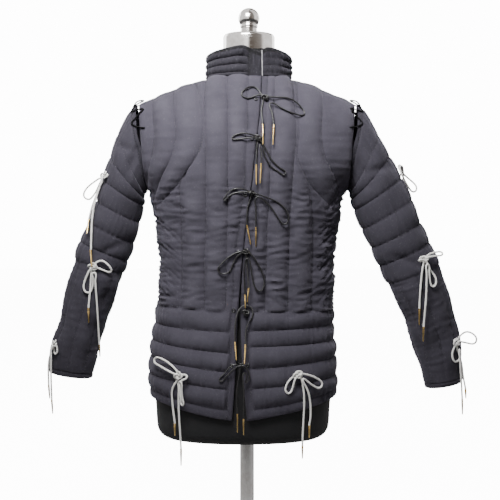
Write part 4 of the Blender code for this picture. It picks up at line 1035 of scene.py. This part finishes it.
# laces
laceLook = {
    "black": 0.0032, "white": 0.0042, "strands": 3, "blackPitch": 0.011, "whitePitch": 0.013,
    "around": 12, "ringStep": 0.0014, "clear": 0.0002, "aglet": 0.0003, "knot": 0.74, "easing": 45,
    "calming": 14, "tipSpan": 13, "tipFold": 0.75, "tipWide": 4.4, "turnMost": 26, "unkinking": 40,
    "agletShares": (0, 0, 0.02, 0.05, 0.07, 0.09, 0.12, 0.17, 0.19, 0.21, 0.24, 0.6, 0.93, 0.98, 1.0, 1.0),
    "agletWidths": (0.5, 0.94, 1.0, 1.0, 0.9, 0.9, 1.0, 0.99, 0.89, 0.89, 0.98, 0.79, 0.6, 0.52, 0.38, 0.04),
    "knotAt": {"skirt_tie_7": 4, "sleeve_tie_1": 4, "sleeve_tie_4": 4, "sleeve_tie_6": 4},    # else point 3
}
laceRoutes = {            # millimetres, from one lace tip to the other; an armhole's run has no tips
    "armhole_lacing_left": [
        (222.5, -72.1, 916.9), (241.3, -57.2, 920.7), (253.3, -50.5, 928.1), (243.2, -46.8, 941.1),
        (226.3, -46.3, 960.1), (244.8, -35.3, 957.9), (256.4, -27, 955.9), (246, -22.9, 970.1),
        (228.6, -17.6, 980.4), (246.8, -1.3, 978.9), (257.5, 11.1, 963.4), (246.1, 19.9, 972),
        (227.8, 28.9, 975.6), (244.9, 33.7, 958.6), (255.1, 37.8, 945.4), (243.1, 46.5, 939.2),
        (224.2, 60.3, 939.5),
    ],
    "armhole_lacing_right": [
        (-222.5, -71, 916.1), (-241.3, -57.1, 920.7), (-253.3, -50.1, 927.6), (-243.2, -46.8, 941.1),
        (-226.3, -45.9, 959.3), (-244.8, -35.2, 957.9), (-256.4, -26.7, 954.9), (-246, -22.8, 970.1),
        (-228.6, -17.6, 980.1), (-246.8, -1.3, 978.9), (-257.5, 11, 962.2), (-246.1, 19.9, 972),
        (-227.8, 29.1, 976.6), (-244.9, 33.7, 958.6), (-255.1, 37.4, 944.7), (-243.1, 46.4, 939.2),
        (-224.2, 60.6, 939.9),
    ],
    "front_tie_1": [
        (33.9, -138.8, 877.2), (33.9, -127.7, 920.2), (30.9, -116, 952.2), (34.9, -103.5, 977.2),
        (15.9, -93.6, 1003.2), (-5.1, -102.5, 996.2), (-14.1, -106.5, 982.2), (4.9, -107.3, 976.2),
        (25.9, -104.2, 985.2), (42.9, -105.4, 980.2), (89.9, -102.3, 977.2), (112.9, -97, 963.2),
        (125.9, -102.9, 940.2), (87.9, -114.1, 948.2), (42.9, -111.7, 972.2), (52.9, -119.9, 948.2),
        (56.9, -129.2, 918.2), (54.9, -137.5, 876.2),
    ],
    "front_tie_2": [
        (20.1, -141.2, 792), (20.1, -137.3, 835), (21.1, -135.4, 866), (21.1, -131.2, 892),
        (2.1, -133.6, 900), (-22.9, -135.4, 898), (-41.9, -135.7, 885), (-19.9, -137.6, 888),
        (6.1, -137, 891), (24.1, -135, 891), (38.1, -135.4, 871), (56.1, -138, 840), (88.1, -138.9, 812),
        (50.1, -138.1, 831), (27.1, -140.5, 884), (31.1, -142.9, 862), (30.1, -144, 837),
        (28.1, -144.5, 794),
    ],
    "front_tie_3": [
        (8.1, -136.4, 665), (0.1, -136.4, 707), (2.1, -135.7, 747), (10.1, -135.8, 773),
        (-10.9, -140.5, 784), (-33.9, -140, 781), (-56.9, -136.6, 745), (-33.9, -139.4, 772),
        (6.1, -139.6, 776), (32.1, -140.6, 769), (70.1, -136.8, 752), (89.1, -133.9, 727),
        (80.1, -134.1, 703), (66.1, -135, 722), (49.1, -138, 747), (16.1, -143.5, 772), (19.1, -140.9, 745),
        (19.1, -139.1, 703), (19.1, -135.8, 661),
    ],
    "front_tie_4": [
        (1, -141.7, 544), (4, -142.3, 574), (0, -133.5, 621), (-4, -129.9, 650), (-27, -130.9, 646),
        (-53, -130.6, 625), (-64, -129.5, 611), (-53, -129.5, 602), (-37, -129, 607), (-24, -129.6, 636),
        (-1, -133.7, 652), (15, -136.2, 638), (32, -134.5, 608), (38, -132.3, 585), (27, -134.5, 561),
        (16, -134.8, 578), (2, -137.9, 648), (-5, -135.5, 618), (-4, -133.5, 559), (-3, -135.7, 530),
    ],
    "front_tie_5": [
        (-22, -154.2, 421), (-25, -147, 460), (-24, -139.6, 502), (-17, -132.9, 527), (-8, -130, 535),
        (9, -132.1, 534), (13, -136.1, 515), (-1, -136.4, 489), (-3, -145, 454), (-5, -153.7, 413),
    ],
    "front_tie_6": [
        (-19.9, -146, 265.9), (-19.9, -146, 305.9), (-20.9, -146.8, 355.9), (-15.9, -144.3, 409.9),
        (-29.9, -144.5, 410.9), (-45.9, -145, 393.9), (-62.9, -145.7, 369.9), (-39.9, -146.6, 389.9),
        (-11.9, -148.1, 410.9), (7.1, -147.3, 388.9), (-11.9, -150.8, 359.9), (1.1, -151, 383.9),
        (-8.9, -151.1, 407.9), (-5.9, -156.4, 347.9), (-6.9, -152.5, 296.9), (-6.9, -152.5, 261.9),
    ],
    "skirt_tie_7": [
        (-155.2, -117.4, 252.3), (-155.2, -117.4, 279.3), (-160.2, -117.4, 324.3), (-160.2, -119.8, 355.3),
        (-145.2, -124.6, 384.3), (-167.2, -111.2, 408.3), (-197.2, -88.5, 418.3), (-209.2, -78.6, 410.3),
        (-189.2, -99.6, 401.3), (-147.2, -127.9, 385.3), (-119.2, -132.6, 383.3), (-141.2, -134.4, 379.3),
        (-136.2, -136, 313.3), (-142.2, -138.9, 381.3), (-146.2, -130.4, 336.3), (-141.2, -130.4, 227.3),
        (-141.2, -130.4, 190.3),
    ],
    "skirt_tie_8": [
        (119.3, -128.5, 204.9), (119.3, -128.5, 233.9), (121.3, -128.5, 355.9), (110.3, -131, 387.9),
        (90.3, -137.3, 375.9), (81.3, -140.9, 355.9), (89.3, -138.6, 338.9), (95.3, -136.9, 351.9),
        (108.3, -136.1, 386.9), (136.3, -121.4, 383.9), (167.3, -103.6, 360.9), (161.3, -108.3, 351.9),
        (136.3, -121.2, 365.9), (112.3, -139.1, 387.9), (132.3, -129.1, 347.9), (137.3, -121.8, 298.9),
        (134.3, -121.8, 275.9), (134.3, -121.8, 248.9),
    ],
    "sleeve_tie_1": [
        (-350, -63, 686.7), (-349, -43.5, 716.7), (-341, -47.4, 745.7), (-324, -47.8, 788.7),
        (-312, -48.4, 815.7), (-333, -48.4, 801.7), (-352, -48.4, 786.7), (-361, -48.4, 767.7),
        (-351, -48.4, 759.7), (-338, -15.4, 776.7), (-316, -45, 813.7), (-328, -53.9, 774.7),
        (-337, -63.4, 733.7), (-340, -75.6, 651.7), (-337, -82.4, 614.7),
    ],
    "sleeve_tie_2": [
        (-347, -69, 491), (-347, -69.4, 524), (-342, -69.6, 574), (-337, -70.8, 615), (-318, -71.9, 629),
        (-303, -70.7, 618), (-291, -59.1, 597), (-322, -69.6, 610), (-337, -74.9, 614), (-352, -69.3, 590),
        (-358, -69.8, 567), (-348, -69.5, 550), (-339, -69.7, 564), (-333, -78.3, 610), (-330, -74.1, 567),
        (-327, -47.2, 440), (-327, -39.9, 412),
    ],
    "sleeve_tie_3": [
        (-439.1, -42.8, 318.1), (-441.1, -42.8, 348.1), (-440.1, -44.5, 403.1), (-426.1, -54.1, 443.1),
        (-430.1, -50.6, 424.1), (-423.1, -58.8, 412.1), (-416.1, -62, 427.1), (-424.1, -60.6, 444.1),
        (-410.1, -63.6, 447.1), (-412.1, -68.1, 439.1), (-428.1, -60.6, 441.1), (-432.1, -60.4, 399.1),
        (-432.1, -56, 318.1), (-430.1, -56, 287.1),
    ],
    "sleeve_tie_4": [
        (336.8, 66.2, 640), (335.8, 67.6, 676), (334.8, 61.4, 740), (336.8, 46.5, 800), (351.8, 40.4, 818),
        (344.8, 6.4, 837), (331.8, -59, 828), (355.8, -25.6, 810), (376.8, -23.6, 791), (379.8, -23.6, 776),
        (368.8, -27.6, 776), (334.8, -60.1, 824), (350.8, 12.4, 834), (357.8, 46.4, 808), (350.8, 61.3, 742),
        (352.8, 66.6, 700), (354.8, 68.5, 664),
    ],
    "sleeve_tie_5": [
        (377.9, -67, 485.9), (377.9, -69.7, 522.9), (379.9, -70.2, 566.9), (389.9, -68.1, 631.9),
        (407.9, -58, 644.9), (436.9, -58, 642.9), (401.9, -64.9, 635.9), (360.9, -74.8, 621.9),
        (387.9, -72.9, 630.9), (401.9, -64.9, 606.9), (414.9, -66.5, 587.9), (412.9, -69.5, 571.9),
        (405.9, -69.7, 559.9), (393.9, -75.8, 627.9), (390.9, -78.7, 549.9), (385.9, -78.1, 483.9),
        (385.9, -74.1, 450.9),
    ],
    "sleeve_tie_6": [
        (486, -49.4, 319.9), (485, -49.4, 341.9), (482, -37.4, 367.9), (476, -48.3, 398.9),
        (463, -57.9, 448.9), (484, -57.9, 470.9), (507, -57.9, 456.9), (504, -57.9, 442.9),
        (483, -38.4, 443.9), (463, -62.8, 445.9), (450, -63.9, 416.9), (459, -61.4, 401.9),
        (472, -52.5, 410.9), (466, -63.6, 442.9), (471, -62.8, 387.9), (477, -53.4, 319.9),
        (478, -53.4, 284.9),
    ],
}


def clothTree():
    # every panel's outer skin, for finding the cloth that is nearest to a place
    points, faces, start = [], [], 0
    for skin, roundTrip in coatSkins.values():
        quads, flat = gridFaces(*skin.shape[:2], roundTrip), skin.reshape(-1, 3)
        flow = np.cross(flat[quads[:, 1]] - flat[quads[:, 0]], flat[quads[:, 2]] - flat[quads[:, 0]])
        out = (skin - skin.mean(axis=1, keepdims=True)).reshape(-1, 3)[quads[:, 0]]
        faces.append((quads if (flow * out).sum() > 0 else quads[:, ::-1]) + start)
        points.append(flat)
        start += len(flat)
    return BVHTree.FromPolygons(np.concatenate(points).tolist(), np.concatenate(faces).tolist())


def onCloth(place):
    # the cloth's nearest spot, and its normal there
    spot, normal, _, _ = cloth.find_nearest(Vector(place))
    return np.array(spot), np.array(normal)


def smoothRun(points, step):
    # an even run along a smooth curve through the points
    points = np.array(points, float)
    padded = np.concatenate((2 * points[:1] - points[1:2], points, 2 * points[-1:] - points[-2:-1]))
    run = []
    for a, b, c, d in zip(padded, padded[1:], padded[2:], padded[3:]):
        ta = 0.0
        tb, tc, td = np.cumsum([max(np.linalg.norm(q - p), 1e-6) ** 0.5 for p, q in ((a, b), (b, c), (c, d))])
        t = np.linspace(tb, tc, 16, endpoint=False)[:, None]
        ab = (tb - t) / (tb - ta) * a + (t - ta) / (tb - ta) * b
        bc = (tc - t) / (tc - tb) * b + (t - tb) / (tc - tb) * c
        cd = (td - t) / (td - tc) * c + (t - tc) / (td - tc) * d
        abc = (tc - t) / (tc - ta) * ab + (t - ta) / (tc - ta) * bc
        bcd = (td - t) / (td - tb) * bc + (t - tb) / (td - tb) * cd
        run.append((tc - t) / (tc - tb) * abc + (t - tb) / (tc - tb) * bcd)
    return evenRun(np.concatenate(run + [points[-1:]]), step)


def evenRun(run, step=None):
    length = alongRun(run)
    marks = np.linspace(0, length[-1], max(4, int(length[-1] / (step or laceLook["ringStep"])) + 1))
    return np.stack([np.interp(marks, length, run[:, axis]) for axis in range(3)], -1)


def relaxed(run, radius, reach=4):
    # eases each bend that is tighter than the radius, and keeps the ends
    run = run.copy()
    for _ in range(laceLook["easing"]):
        before, here, after = run[:-2 * reach], run[reach:-reach], run[2 * reach:]
        middle = (before + after) / 2
        chord = np.linalg.norm(after - before, axis=1) / 2
        sag = np.linalg.norm(middle - here, axis=1)
        bend = 2 * sag / np.maximum(chord**2 + sag**2, 1e-12)
        tight = smooth((bend * radius - 0.8) / 0.4)
        tight = np.convolve(tight, np.ones(5) / 5, "same")[:, None]
        here += 0.12 * tight * (middle - here)
        run[1:-1] = run[1:-1] * 0.8 + (run[:-2] + run[2:]) * 0.1
    return run


def unkinked(run):
    # smooths the run only round each place that turns too far in one step
    limit = cos(radians(laceLook["turnMost"]))
    for turn in range(laceLook["unkinking"]):
        leg = unit(np.diff(run, axis=0))
        tight = (leg[1:] * leg[:-1]).sum(1) < limit
        if not tight.any():
            break
        near = np.convolve(tight, np.ones(9), "same")[:, None] > 0
        run = run.copy()
        run[1:-1] += 0.5 * near * ((run[:-2] + run[2:]) / 2 - run[1:-1])
        if turn % 4 == 3:
            run = evenRun(run)
    return run


def opened(run, width, reach=5):
    # a lace that turns back on itself gets a round loop's tip
    run = run.copy()
    leg = unit(run[reach:] - run[:-reach])
    into, out = leg[:-reach], leg[reach:]
    back = -(into * out).sum(1)
    span = laceLook["tipSpan"]
    while back.max() > laceLook["tipFold"]:
        k = int(back.argmax())
        back[max(0, k - 2 * reach):k + 2 * reach] = -1
        middle = k + reach
        side = unit(np.cross(onCloth(run[middle])[1], into[k] - out[k]))
        gap = (run[middle + reach] - run[middle - reach]) @ side
        add = max(0.0, laceLook["tipWide"] * width - abs(gap)) / 2 * (1 if gap >= 0 else -1)
        for i in range(1, span):
            part = add * sin(pi * (i / span) ** 0.7)
            if middle + i < len(run):
                run[middle + i] += side * part
            if middle - i >= 0:
                run[middle - i] -= side * part
    return run


def clearOfCloth(run, radius, ends=2):
    # lifts the run off the cloth wherever it comes too near
    run = run.copy()
    for _ in range(4):
        lift = np.zeros(run.shape)
        for i in range(ends, len(run) - ends):
            spot, normal, _, away = cloth.find_nearest(Vector(run[i]))
            if away < 0.03:
                side = (Vector(run[i]) - spot).dot(normal)
                need = radius + laceLook["clear"] - (away if side > 0 else -away)
                if need > 0:
                    lift[i] = np.array(normal) * need
        for _ in range(3):
            lift[1:-1] = np.where(abs(lift[1:-1]).sum(1, keepdims=True) > 0, lift[1:-1],
                                  (lift[:-2] + lift[2:]) / 2)
        run += lift
        if abs(lift).max() < 1e-5:
            break
    return run


def sweep(name, run, radii, around, material, strands=0, pitch=0.01, depth=0.16):
    # a tube along the run; with strands, its skin is twisted like cord
    run = np.asarray(run)
    ahead = unit(np.gradient(run, axis=0))
    side = unit(np.cross(ahead[0], (0.3, 0.9, 0.2)))
    sides = []
    for way in ahead:
        side = unit(side - way * (side @ way))
        sides.append(side)
    sides = np.array(sides)
    ups = np.cross(ahead, sides)
    angle = 2 * pi * np.arange(around) / around
    radii = np.broadcast_to(np.asarray(radii, float), (len(run),))[:, None]
    lobes = np.ones((len(run), around))
    if strands:
        lobes = abs(np.cos((angle[None, :] - 2 * pi * alongRun(run)[:, None] / pitch) * strands / 2))
    scale = radii * (1 - depth + depth * lobes)
    rings = (run[:, None] + sides[:, None] * (scale * np.cos(angle))[..., None]
             + ups[:, None] * (scale * np.sin(angle))[..., None])
    # the lobes are also the mark that the cord material's painted shade and highlight follow
    return newPiece(name, rings, tubeFaces(len(run), around), material, 55, lobes)


def makeAglet(name, mouth, tip, radius):
    # a rolled brass tip: rim, two crimps, a long taper and a blunt end
    shares, way = np.array(laceLook["agletShares"])[:, None], tip - mouth
    run = mouth + way * shares + way * np.linspace(0, 1e-4, len(shares))[:, None]
    return sweep(name, run, np.array(laceLook["agletWidths"]) * radius, 14, agedBrass)


def laceKind(name):
    # the lace's slot, width, pitch of its twist and material
    look = laceLook
    if name.startswith(("front", "armhole")):
        cord = blackCord if name.startswith("front") else armholeCord
        return "black_lace", look["black"], look["blackPitch"], cord
    return "white_lace", look["white"], look["whitePitch"], whiteCord


def makeTie(name, route):
    # the cord along its route and its two tips; an armhole's lacing has none
    look = laceLook
    slot, width, pitch, material = laceKind(name)
    points = np.array(route) * mm
    hasTips = not name.startswith("armhole")
    run = smoothRun(points[1:-1] if hasTips else points, 0.003)
    run = evenRun(clearOfCloth(run, width / 2))
    if hasTips:
        run = evenRun(opened(run, width))
        run = evenRun(relaxed(run, 2 * width))
        run = evenRun(clearOfCloth(run, width / 2))
    for _ in range(look["calming"] if hasTips else 2):
        run[1:-1] = run[1:-1] * 0.5 + (run[:-2] + run[2:]) * 0.25
    if hasTips:
        run = unkinked(evenRun(run))
    piece = sweep(name + "_cord", run, width / 2 * 1.04, look["around"], material, look["strands"], pitch)
    dress(piece, name)
    ends = []
    for letter, i in (("a", 0), ("b", -1)) if hasTips else ():
        mouth = run[i] + (points[i] - run[i]) * 0.004
        end = makeAglet(f"{name}_tip_{letter}", mouth, points[i], width / 2 + look["aglet"])
        ends.append(dress(end, f"{name}_aglet_{letter}"))
    return piece, run, ends


def makeKnot(name, points, seed):
    # the cord's own turns where the two ends are tied, drawn flat on the cloth
    slot, width, pitch, material = laceKind(name)
    near = points[laceLook["knotAt"].get(name, 3)]
    other = min(points[6:-2], key=lambda p: np.linalg.norm(p - near))
    random = np.random.default_rng(seed)
    spot, normal = onCloth((near + other) / 2)
    across = unit(np.cross(normal, (random.normal(0, 0.3), 0.1, 1.0)))
    up = np.cross(across, normal)
    t = np.linspace(0, 2 * pi, 90)[:, None]
    size = width * laceLook["knot"]
    out = size * (2 + np.cos(3 * t))
    run = spot + normal * (width * 1.75 + size * 0.8 * np.sin(3 * t))
    run += across * out * np.cos(2 * t) * 1.15 + up * out * np.sin(2 * t) * 0.8
    knot = sweep(name + "_knot", run, width / 2, laceLook["around"], material, laceLook["strands"], pitch)
    return dress(knot)


cloth = clothTree()
ties = {name: makeTie(name, route) for name, route in laceRoutes.items()}
for seed, (name, (piece, run, ends)) in enumerate(ties.items()):
    if ends:
        knot = makeKnot(name, np.array(laceRoutes[name]) * mm, seed)
report("laces laid")


# stitches, eyelets and the collar's piping
trimLook = {
    "stitchLong": 0.0034, "stitchPitch": 0.0062, "stitchWide": 0.00045, "eyeletIn": 0.011,
    "piping": 0.0011, "eyeletAround": 36, "stitchLift": 0.0001,
    "eyelet": ((1.6, -0.5), (1.7, 0.3), (2.1, 1.1), (2.9, 1.7), (3.8, 1.5), (4.4, 0.8), (4.6, -0.5)),
}


def makeStitches(name, lines):
    # one lens of thread for each stitch along the lines
    long, wide = trimLook["stitchLong"], trimLook["stitchWide"]
    points, faces = [], []
    for line in lines:
        line = evenRun(line, trimLook["stitchPitch"])
        for a, b in zip(line, line[1:]):
            way, normal = unit(b - a), onCloth((a + b) / 2)[1]
            middle = (a + b) / 2 + normal * trimLook["stitchLift"]
            half, side, up = way * long / 2, np.cross(way, normal) * wide, normal * wide
            n = len(points)
            points += [middle - half, middle + half,
                       middle + side, middle + up * 1.2, middle - side, middle - up]
            for k in range(4):
                p, q = n + 2 + k, n + 2 + (k + 1) % 4
                faces += [(n, q, p), (n + 1, p, q)]
    dress(newPiece(name, points, faces, stitchThread))


def makeEyelet(name, near):
    # a hole worked round with shiny thread, on the cloth nearest to this place
    spot, normal = onCloth(near)
    across = unit(np.cross(normal, (0.0, 0.1, 1.0)))
    up = np.cross(across, normal)
    around = trimLook["eyeletAround"]
    angle = 2 * pi * np.arange(around)[:, None] / around
    out = across * np.cos(angle) + up * np.sin(angle)
    rings = [spot + out * r * mm + normal * h * mm for r, h in trimLook["eyelet"]]
    # alternate threads are marked high and low for the cord material's painted shade and highlight
    threads = np.tile(np.where(np.arange(around) % 2 == 0, 1.0, 0.2), len(rings))
    # the low end's face closes the hole with a dark disc of thread: painted shade in the hole
    ends = tubeFaces(len(rings), around, falling=True)[-2:]
    faces = np.roll(gridFaces(len(rings), around), -1, axis=1).tolist() + ends
    dress(newPiece(name, rings, faces, eyeletThread, raised=threads))


for name, lines in stitchRuns.items():
    makeStitches(name.replace("Quilt", "Stitches"), lines)
opening = {side: (lines["z"], lines["edge"]) for side, lines in ((-1, rightLines), (1, leftLines))}
for name, route in laceRoutes.items():
    spot = np.array(route[laceLook["knotAt"].get(name, 3)]) * mm
    if name.startswith("front"):
        for side, label in ((-1, "right"), (1, "left")):
            x = float(follow(spot[2], *opening[side])) + side * trimLook["eyeletIn"]
            makeEyelet(f"{name}_eyelet_{label}", (x, spot[1], spot[2] - 0.002))
    elif not name.startswith("armhole"):
        makeEyelet(f"{name}_eyelet", spot)
run = evenRun(coatSkins["collarQuilt"][0][:, 0], 0.002)       # up the collar's front end
run = run + onCloth(run[len(run) // 2])[1] * 0.0004
dress(sweep("collarPiping", run, trimLook["piping"], 10, paleEdge, 3, 0.006))
report("stitches, eyelets and piping laid")


# dress form and stand
formLook = {
    "around": 96, "levels": 90, "stumpHalf": 0.200, "neckFrom": 1.010, "neckTo": 1.088, "neckLevels": 22,
    "neckBlend": 0.012, "foot": [0.228, 0.2285, 0.2295, 0.231, 0.2335, 0.2365, 0.240, 0.2445, 0.25],
}
formInset = tableOf("z inset", (228, 44), (231, 29), (240, 17), (256, 11), (300, 9.5), (520, 13), (700, 13),
                    (800, 11), (880, 9), (930, 7.5), (978, 7), (1000, 8.5), (1012, 8.5))
formNeck = ((1010, None, None), (1019, 82, 64), (1030, 68, 59), (1046, 60, 57.5), (1066, 58, 57.2),
            (1088, 57.2, 57.2))


def formRing(z, angle):
    inset = float(follow(z, formInset["z"], formInset["inset"]))
    sloped = np.clip((coat["neckZ"] - inset - z) / (coat["neckZ"] - coat["shoulderZ"]), 0, 1)
    slope = coat["neckHalf"] - inset + (coat["shoulderHalf"] - coat["neckHalf"]) * sloped ** (
        1 / coat["shoulderCurve"])
    free = float(bodyAt(z, "half")) - inset
    half = min(free, formLook["stumpHalf"], float(slope))
    shift = float(bodyAt(z, "shift")) + coat["neckX"] * float(smooth((z - 0.9) / 0.1))
    x = shift + half * np.cos(angle)
    close = (1 - abs(np.cos(angle)) ** 6) ** (1 / 6) if half < free else 1.0
    y = np.where(np.sin(angle) < 0, -bodyDepth(x, z, "front", inset), bodyDepth(x, z, "back", inset)) * close
    return np.stack((x, np.where(abs(np.sin(angle)) < 1e-6, 0, y), np.full(len(angle), z)), -1)


def makeForm():
    angle = 2 * pi * np.arange(formLook["around"]) / formLook["around"]
    heights = np.concatenate((formLook["foot"], np.linspace(0.256, formLook["neckFrom"], formLook["levels"])))
    rings = [formRing(z, angle) for z in heights]
    stations = np.array([row[0] for row in formNeck], float) * mm
    below = rings[-1]
    first = np.array((abs(below[:, 0] - coat["neckX"]).max(), abs(below[:, 1]).max())) / mm
    sizes = np.array([first] + [row[1:] for row in formNeck[1:]], float) * mm
    for z in np.linspace(formLook["neckFrom"], formLook["neckTo"], formLook["neckLevels"])[1:]:
        half, deep = (float(follow(z, stations, sizes[:, i])) for i in (0, 1))
        blend = float(smooth((z - formLook["neckFrom"]) / formLook["neckBlend"]))
        x, y = coat["neckX"] + half * np.cos(angle), deep * np.sin(angle)
        ring = np.stack((x, y, np.full(len(angle), z)), -1)
        scaled = below.copy()
        scaled[:, 0] = coat["neckX"] + (below[:, 0] - coat["neckX"]) * half / sizes[0, 0]
        scaled[:, 1] = below[:, 1] * deep / sizes[0, 1]
        scaled[:, 2] = z
        rings.append(scaled * (1 - blend) + ring * blend)
    faces = tubeFaces(len(rings), len(angle))
    dress(newPiece("formBody", rings, faces, blackJersey, 40), "form_torso")


def turnedPiece(name, profile, node, around=72):
    # a profile of (radius, height), turned about the neck's middle or the post's
    middle = coat["neckX"] if node in ("neck_cap", "finial") else 0.0
    angle = 2 * pi * np.arange(around) / around
    rings = [[(middle + r * cos(a), r * sin(a), z) for a in angle] for r, z in profile]
    faces = tubeFaces(len(profile), around, falling=True)
    dress(newPiece(name, rings, faces, brightSteel, 32), node)


metalLook = {             # (radius, height) from the top down; the ball's own start under its middle
    "cap": [(0.0008, 1.1310), (0.012, 1.1309), (0.024, 1.1305), (0.036, 1.1298), (0.046, 1.1288),
            (0.0515, 1.1279), (0.0542, 1.1268), (0.0556, 1.1250), (0.0562, 1.1236), (0.0569, 1.1226),
            (0.0572, 1.1208), (0.0572, 1.0905), (0.0570, 1.0893), (0.0563, 1.0886), (0.0545, 1.0885),
            (0.0008, 1.0885)],
    "post": [(0.0150, 0.2277), (0.0160, 0.2267), (0.0160, 0.0155), (0.0152, 0.0143)],
    "base": [(0.0200, 0.0140), (0.0700, 0.0140), (0.1480, 0.0140), (0.1515, 0.0136), (0.1540, 0.0122),
             (0.1550, 0.0098), (0.1550, 0.0035), (0.1545, 0.0012), (0.1530, 0.0)],
    "underBall": [(0.0192, -0.0146), (0.0194, -0.0158), (0.0194, -0.0185), (0.0188, -0.0200),
                  (0.0182, -0.0208), (0.0180, -0.0225), (0.0181, -0.0245)],
    "overCap": [(0.0184, 0.0045), (0.0184, 0.0006), (0.0178, 0), (0.001, 0)],
    "ballZ": 1.1635, "ball": 0.0235, "collarZ": 1.1313,
}


def makeMetal():
    look = metalLook
    arc = [radians(a) for a in np.linspace(89, -36, 30)]
    ball = [(look["ball"] * cos(a), look["ballZ"] + look["ball"] * sin(a)) for a in arc]
    ball += [(r, look["ballZ"] + z) for r, z in look["underBall"]]
    ball += [(r, look["collarZ"] + z) for r, z in look["overCap"]]
    turnedPiece("steelCap", look["cap"], "neck_cap", 96)
    turnedPiece("steelBall", ball, "finial", 64)
    turnedPiece("steelPost", look["post"], "post", 48)
    turnedPiece("steelBase", look["base"], "base", 128)


makeForm()
makeMetal()
report("form and stand made")


clothCuts = (             # piece, node, and width and length when it lies flat
    (rightFront, "front_right", (0.34, 0.79)),
    (leftFront, "front_left", (0.34, 0.79)),
    (backPiece, "back", (0.62, 0.79)),
    (collarPiece, "collar", (0.60, 0.07)),
    (rightSleeve, "sleeve_right", (0.34, 0.64)),
    (leftSleeve, "sleeve_left", (0.34, 0.66)),
)
for piece, node, flat in clothCuts:
    dress(piece, node)
